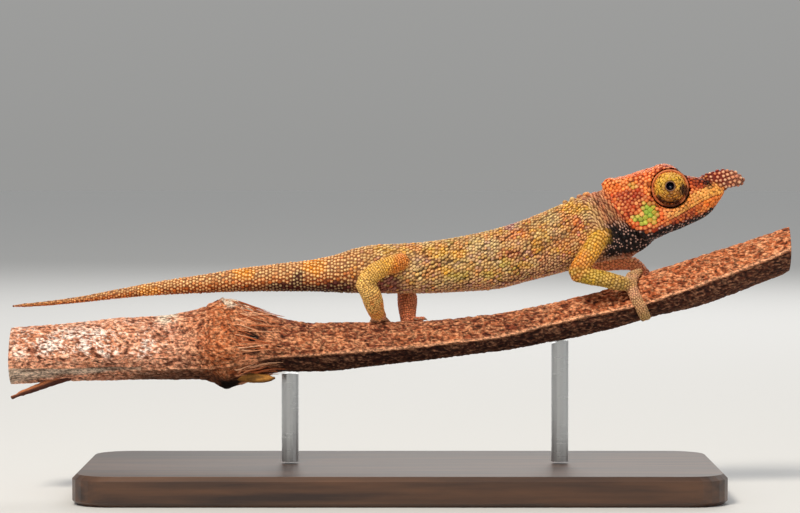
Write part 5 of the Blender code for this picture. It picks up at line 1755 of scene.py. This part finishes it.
def make_splinters(draws):
    """Torn fibres that fan out from the knot: flat tapered strips along lines that follow the bark
    and lift off it towards their tips."""
    tubes, shades = [], []
    share = np.linspace(0, 1, 9)
    for _ in range(SPLINTERS):
        x = draws.uniform(-22.6, -20.2)
        angle = draws.uniform(0, 360)
        xs = x + draws.uniform(1.6, 5.4) * share
        lift = draws.uniform(0.02, 0.5) ** 2 * 1.6
        turns = angle + draws.normal(0, 7) * share**1.5
        out = -0.25 + 0.35 * ramp(share, 0, 0.2) + lift * share**2
        place = branch_point(xs, turns, 0.05) + branch_out(branch_point(xs, turns)) * out[:, None]
        thick = draws.uniform(0.04, 0.12) * (1 - 0.75 * share)
        tubes.append(closed_tube(tube_rings(np.column_stack([place, thick]), 9, 6, (0.0, 0.5))))
        shade = linear(SPLINTER_HUES[draws.integers(0, len(SPLINTER_HUES))])
        shades.append(np.tile(shade, (len(tubes[-1][0]), 1)))
    return add_tubes("splinters", tubes, shades, finish("torn bark fibre"))


def make_spurs():
    """The dry bud stub under the knot and the loose flap of bark at the left end: tubes with scales
    of bark raised by noise, the flap paler along its top."""
    tubes, shades = [], []
    for path, ground, top_pale in ((BUD_STUB, "stub", 0.0), (BARK_FLAP, "flap", 0.8)):
        rings = tube_rings(path, 60, 28, (0.3, 0.6))
        middle = rings.mean(axis=1, keepdims=True)
        rough = creased(rings.reshape(-1, 3) * (0.5, 1, 1), 0.45, 91).reshape(rings.shape[:2])
        tubes.append(closed_tube(rings + unit(rings - middle) * (0.16 * rough)[..., None]))
        points, ground = tubes[-1][0], colour(ground)
        drawn = points * (0.3, 1, 1)
        over = points[:, 2] - np.interp(points[:, 0], *np.array(sorted(path))[:, [0, 2]].T)
        shades.append(laid(ground, (ground * 1.8, ramp(noise(drawn, 0.5, 92), 0.1, 0.6) * 0.6),
                           (ground * 0.25, ramp(noise(drawn, 0.4, 93), 0.0, 0.5) * 0.7),
                           ("flap_top", ramp(over, 0.0, 0.3) * top_pale)))
    return add_tubes("branch_spurs", tubes, shades, finish("torn bark fibre"))


# Stand and stage.

HORIZON_SHARE = 0.678  # what the floor throws back of the light from straight up
AIM = Vector((0.0, 0.0, 32.0 * MM))
LIGHTS = (("key", (-0.20, -0.38, 0.52), 0.16, (1.0, 0.915, 0.78)),
          ("fill", (0.55, -0.40, 0.14), 0.5, (1.0, 0.98, 0.95)),
          ("rim", (0.10, 0.50, 0.42), 0.4, (1.0, 0.98, 0.95)))  # name, place, side in m, colour
FLOOR_SIDES = 96
FLOOR_RINGS = (40.0, 200.0, 1000.0, 3000.0)


class StandSettings(bpy.types.PropertyGroup):
    """Finishes of the display stand."""
    wood_dark: hue("Walnut, dark", "Dark lines of the base's grain", "#2A1810")
    wood_light: hue("Walnut, light", "Light wood between them", "#5A3A24")
    steel: hue("Steel", "Rods of the stand", "#B9BBBD")
    grain: size("Grain", "Distance between the base's grain lines", 1.6)


class StageSettings(bpy.types.PropertyGroup):
    """Floor, lights and camera."""
    floor: hue("Floor", "Plain pale studio floor", "#D3D4D5")
    sky: hue("Surround", "Soft light from all round", "#F4F4F2")
    sky_light: amount("Surround strength", "Brightness of the surround", 0.52)
    key: amount("Key light", "Power of the main light", 3.6, unit="POWER")
    fill: amount("Fill light", "Power of the light on the shadow side", 0.4, unit="POWER")
    rim: amount("Rim light", "Power of the light from behind", 1.7, unit="POWER")
    distance: size("Camera distance", "From the camera to the middle of the view", 420.0)
    lens: amount("Lens", "Focal length in millimetres", 140.0, 10.0)
    rise: amount("Camera rise", "Angle over the horizon, in degrees", 2.0, max=60.0)


def walnut():
    """Walnut, planed and lacquered: dark grain lines along x on lighter wood, satin clear coat."""
    stand = bpy.context.scene.chameleon_stand
    tree = new_tree("lacquered walnut")
    place = drawn_out(tree, (0.06, 1, 1))
    line = add(tree, "TexNoise", {"Vector": place, "Scale": 1 / stand.grain, "Detail": 5.0,
                                  "Roughness": 0.6})
    pore = add(tree, "TexNoise", {"Vector": place, "Scale": per_mm(0.25), "Detail": 2.0})
    light = add(tree, "MapRange", {"Value": line, "From Min": 0.32, "From Max": 0.68})
    return shaded("lacquered walnut", {
        "Base Color": add(tree, "MixRGB", {"Fac": light, "Color1": (*stand.wood_dark, 1),
                                           "Color2": (*stand.wood_light, 1)}),
        "Roughness": 0.42, "Coat Weight": 0.25, "Coat Roughness": 0.25,
        "Normal": add(tree, "Bump", {"Strength": 0.15, "Distance": 0.05 * MM, "Height": pore})})


def drawn_steel():
    """Stainless steel rod, brushed round: fine rings about 0.2 mm apart in its gloss."""
    stand = bpy.context.scene.chameleon_stand
    tree = new_tree("brushed steel")
    brush = add(tree, "TexNoise", {"Vector": drawn_out(tree, (0.05, 0.05, 1)), "Detail": 2.0,
                                   "Scale": per_mm(0.2)})
    return shaded("brushed steel", {
        "Metallic": 1.0, "Base Color": (*stand.steel, 1),
        "Roughness": add(tree, "MapRange", {"Value": brush, "To Min": 0.20, "To Max": 0.42})})


def refinish(node, material):
    """Gives a CAD node's material slots another material."""
    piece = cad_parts[node]
    if not piece.material_slots:
        piece.data.materials.append(material)
    for slot in piece.material_slots:
        slot.material = material


def make_floor():
    """A disc of plain floor 3 m in radius, as rings of a polar grid round a middle point."""
    stage = bpy.context.scene.chameleon_stage
    turn = turns(FLOOR_SIDES)
    disc = np.stack([np.cos(turn), np.sin(turn), 0 * turn], axis=-1)
    points = np.concatenate([disc * reach for reach in FLOOR_RINGS] + [np.zeros((1, 3))])
    ring = np.arange(FLOOR_SIDES)
    centre = np.stack([np.full(FLOOR_SIDES, len(points) - 1), ring, np.roll(ring, -1)], axis=1)
    quads = ring_quads(len(FLOOR_RINGS), FLOOR_SIDES)[:, ::-1]
    mesh = mesh_of("floor", points, [quads, centre])
    new_tree("matt paper")
    mesh.materials.append(shaded("matt paper", {"Roughness": 0.9,
                                                "Base Color": (*stage.floor, 1)}))
    floor = linked("floor", mesh)
    return floor


def aimed(holder, place):
    """Puts a light or camera at a place and turns it to look at the animal."""
    holder.location = place
    holder.rotation_euler = (AIM - holder.location).to_track_quat("-Z", "Y").to_euler()
    return holder


def surround(stage):
    """A plain surround whose strength falls from straight up to the horizon by the share that the
    floor throws back, so that the far floor runs into it without a line."""
    world = bpy.data.worlds.new("studio")
    world.use_nodes = True
    tree = world.node_tree
    ray = add(tree, "TexCoord", {}).outputs["Generated"]
    height = add(tree, "SeparateXYZ", {0: ray}).outputs["Z"]
    strength = add(tree, "MapRange", {
        "Value": height, "From Min": 0.0, "From Max": 0.4,
        "To Min": stage.sky_light * HORIZON_SHARE, "To Max": stage.sky_light})
    sky = tree.nodes["Background"]
    sky.inputs["Color"].default_value = (*stage.sky, 1)
    tree.links.new(strength.outputs[0], sky.inputs["Strength"])
    return world


def make_stage():
    stage = bpy.context.scene.chameleon_stage
    make_floor()
    bpy.context.scene.world = surround(stage)
    bpy.context.scene.view_settings.view_transform = "Standard"
    for name, place, side, shade in LIGHTS:
        lamp = bpy.data.lights.new(name, "AREA")
        lamp.energy, lamp.size, lamp.color = getattr(stage, name), side, shade
        aimed(linked(name, lamp), place)
    lens = bpy.data.cameras.new("camera")
    lens.sensor_width, lens.lens = 36.0, stage.lens
    lens.clip_start, lens.clip_end = 0.01, 20.0
    rise = math.radians(stage.rise)
    place = AIM + Vector((0, -math.cos(rise), math.sin(rise))) * stage.distance
    bpy.context.scene.camera = aimed(linked("camera", lens), place)


# The animal's coat as objects.

WORK = {}  # the skin's arrays, kept from the skin's operator for the scales' operator
FLESH_NODES = ("head", "neck", "rostral_appendage", "torso", "tail_base", "tail_middle",
               "tail_tip", *LIMBS, *FEET)
FORE = tuple(n for n in PARTS if "arm" in n or "hand" in n)
HIND = tuple(n for n in (*LIMBS, *FEET) if n not in FORE)
COATS = (  # piece, parts, x from, x to, slot
    ("scales_tail", ("trunk",), -60.0, -7.4, "tail_skin"),
    ("scales_trunk", ("trunk",), -7.4, 24.0, "trunk_skin"),
    ("scales_neck", ("trunk",), 24.0, 40.0, "trunk_skin"),
    ("scales_head", ("head",), 0.0, 60.0, "head_skin"),
    ("scales_lobe", ("lobe",), 0.0, 60.0, "lobe_skin"),
    ("scales_forelegs", FORE, 0.0, 60.0, "limb_skin"),
    ("scales_hindlegs", HIND, -60.0, 60.0, "limb_skin"),
)


def make_skin():
    lofts = flesh()
    chart = Chart(lofts)
    mesh = make_skin_mesh(chart, lofts)
    surface = Surface(mesh, chart)
    # The skin between the scales is mostly the gap colour: its own dark colour and painted shade.
    tints = 0.75 * surface.values[:, 6:9] + 0.25 * surface.values[:, 0:3]
    skin = add_piece("skin", mesh, tints, finish("soft skin"))
    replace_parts(skin, *FLESH_NODES)
    WORK.update(lofts=lofts, chart=chart, surface=surface)


def make_scales():
    """The scales: rows that rise on the flanks and run along the folds behind the head, wider there
    and on the head, and flatter towards the tail's tip."""
    if "surface" not in WORK:
        raise RuntimeError("the scales lie on the skin: make the skin first")
    chart, surface = WORK["chart"], WORK["surface"]
    draws = np.random.default_rng(coat().seed)
    roots, pitches, cones = scale_roots(surface, chart, WORK["lofts"], draws)
    at, found = closest(surface.tree, roots), chart.nearest(roots)
    parts, places, values = surface.parts[at], chart.places[found, :2], surface.values[at]
    x, coloured = roots[:, 0], values[:, 0] >= 0.03
    on_flank = (parts == 0) * band(x, -7, -3, 24, 27)
    neck = (parts == 0) * ramp(neck_run(roots), 25.6, 26.8)
    turn = (FLANK_TURN * on_flank * (1 - neck) - 1.05 * neck)[:, None]
    lies = chart.lies[found] * np.cos(turn) - np.array([0, 0, 1.0]) * np.sin(turn)
    axes = frames(surface.normals[at], lies)
    reach = crowding(roots, pitches) * np.exp(draws.normal(0, 0.05, len(roots)))
    rise_share = np.array([RISE.get(p.split("_")[0], LIMB_RISE) for p in PARTS])[parts]
    rise = rise_share * reach * 2 * np.exp(draws.normal(0, 0.10, len(roots)))
    reach = reach * np.where((parts == HEAD_PART) & coloured, 1.19, 1.0)
    rise *= 1 - 0.5 * fade(x, -50, -34)
    reach[cones], rise[cones] = CONE
    long = np.array([0.98 if p.startswith(("thigh", "shank")) else 1.06 for p in PARTS])[parts]
    long = long + 0.20 * on_flank + 0.8 * neck * coloured
    colours = varied(values, parts, x, draws)
    for name, names, low, high, slot in COATS:
        own = np.isin(parts, [PARTS.index(n) for n in names]) & (x >= low) & (x < high)
        if not own.any():
            raise RuntimeError(f"{name} has no scales")
        add_scales(name, roots[own], [axis[own] for axis in axes], reach[own], rise[own],
                   [c[own] for c in colours], places[own], draws, long[own])


# Operators.

class CHAMELEON_OT_skin(bpy.types.Operator):
    """Make the one skin of body, head, lobe, legs and feet"""
    bl_idname = "chameleon.skin"
    bl_label = "Skin"

    def execute(self, context):
        make_skin()
        return {"FINISHED"}


class CHAMELEON_OT_scales(bpy.types.Operator):
    """Lay the scales over the skin"""
    bl_idname = "chameleon.scales"
    bl_label = "Scales"

    def execute(self, context):
        make_scales()
        return {"FINISHED"}


class CHAMELEON_OT_eyes(bpy.types.Operator):
    """Make both eye turrets with their granules, and both eyeballs"""
    bl_idname = "chameleon.eyes"
    bl_label = "Eyes"

    def execute(self, context):
        for name, side in (("right", -1), ("left", 1)):
            draws = np.random.default_rng(coat().seed + 20 + side)
            turret = make_turret("turret_" + name, side)
            make_granules("scales_turret_" + name, side, draws)
            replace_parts(turret, "eyelid_" + name)
            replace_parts(make_eyeball("eye_" + name, side), "eyeball_" + name)
        return {"FINISHED"}


class CHAMELEON_OT_claws(bpy.types.Operator):
    """Make the claws of all toes"""
    bl_idname = "chameleon.claws"
    bl_label = "Claws"

    def execute(self, context):
        make_claws()
        return {"FINISHED"}


class CHAMELEON_OT_branch(bpy.types.Operator):
    """Make the branch with its bark, splinters, bud stub and bark flap"""
    bl_idname = "chameleon.branch"
    bl_label = "Branch"

    def execute(self, context):
        make_branch()
        make_splinters(np.random.default_rng(coat().seed + 40))
        make_spurs()
        return {"FINISHED"}


class CHAMELEON_OT_stand(bpy.types.Operator):
    """Finish the stand's base as walnut and its rods as steel"""
    bl_idname = "chameleon.stand"
    bl_label = "Stand"

    def execute(self, context):
        refinish("stand_base", walnut())
        steel = drawn_steel()
        for node in ("stand_rod_1", "stand_rod_2"):
            refinish(node, steel)
        return {"FINISHED"}


class CHAMELEON_OT_stage(bpy.types.Operator):
    """Make the floor, the lights and the camera"""
    bl_idname = "chameleon.stage"
    bl_label = "Stage"

    def execute(self, context):
        make_stage()
        return {"FINISHED"}


STEPS = ("skin", "scales", "eyes", "claws", "branch", "stand", "stage")
GROUPS = (("chameleon_coat", CoatSettings), ("chameleon_marks", MarkingSettings),
          ("chameleon_stand", StandSettings), ("chameleon_stage", StageSettings))


class CHAMELEON_PT_panel(bpy.types.Panel):
    """Lists the steps and the settings in the sidebar"""
    bl_idname = "CHAMELEON_PT_panel"
    bl_label = "Chameleon"
    bl_space_type = "VIEW_3D"
    bl_region_type = "UI"
    bl_category = "Chameleon"

    def draw(self, context):
        for step in STEPS:
            self.layout.operator("chameleon." + step)
        for group, kind in GROUPS:
            box = self.layout.box()
            box.label(text=kind.__doc__)
            for name in kind.__annotations__:
                box.prop(getattr(context.scene, group), name)


CLASSES = (CoatSettings, MarkingSettings, StandSettings, StageSettings, CHAMELEON_OT_skin,
           CHAMELEON_OT_scales, CHAMELEON_OT_eyes, CHAMELEON_OT_claws, CHAMELEON_OT_branch,
           CHAMELEON_OT_stand, CHAMELEON_OT_stage, CHAMELEON_PT_panel)


def register():
    for item in CLASSES:
        bpy.utils.register_class(item)
    for group, kind in GROUPS:
        setattr(bpy.types.Scene, group, PointerProperty(type=kind))


def unregister():
    for group, _ in GROUPS:
        delattr(bpy.types.Scene, group)
    for item in reversed(CLASSES):
        bpy.utils.unregister_class(item)


def main():
    register()
    for step in STEPS:
        getattr(bpy.ops.chameleon, step)()


if __name__ == "__main__":
    main()
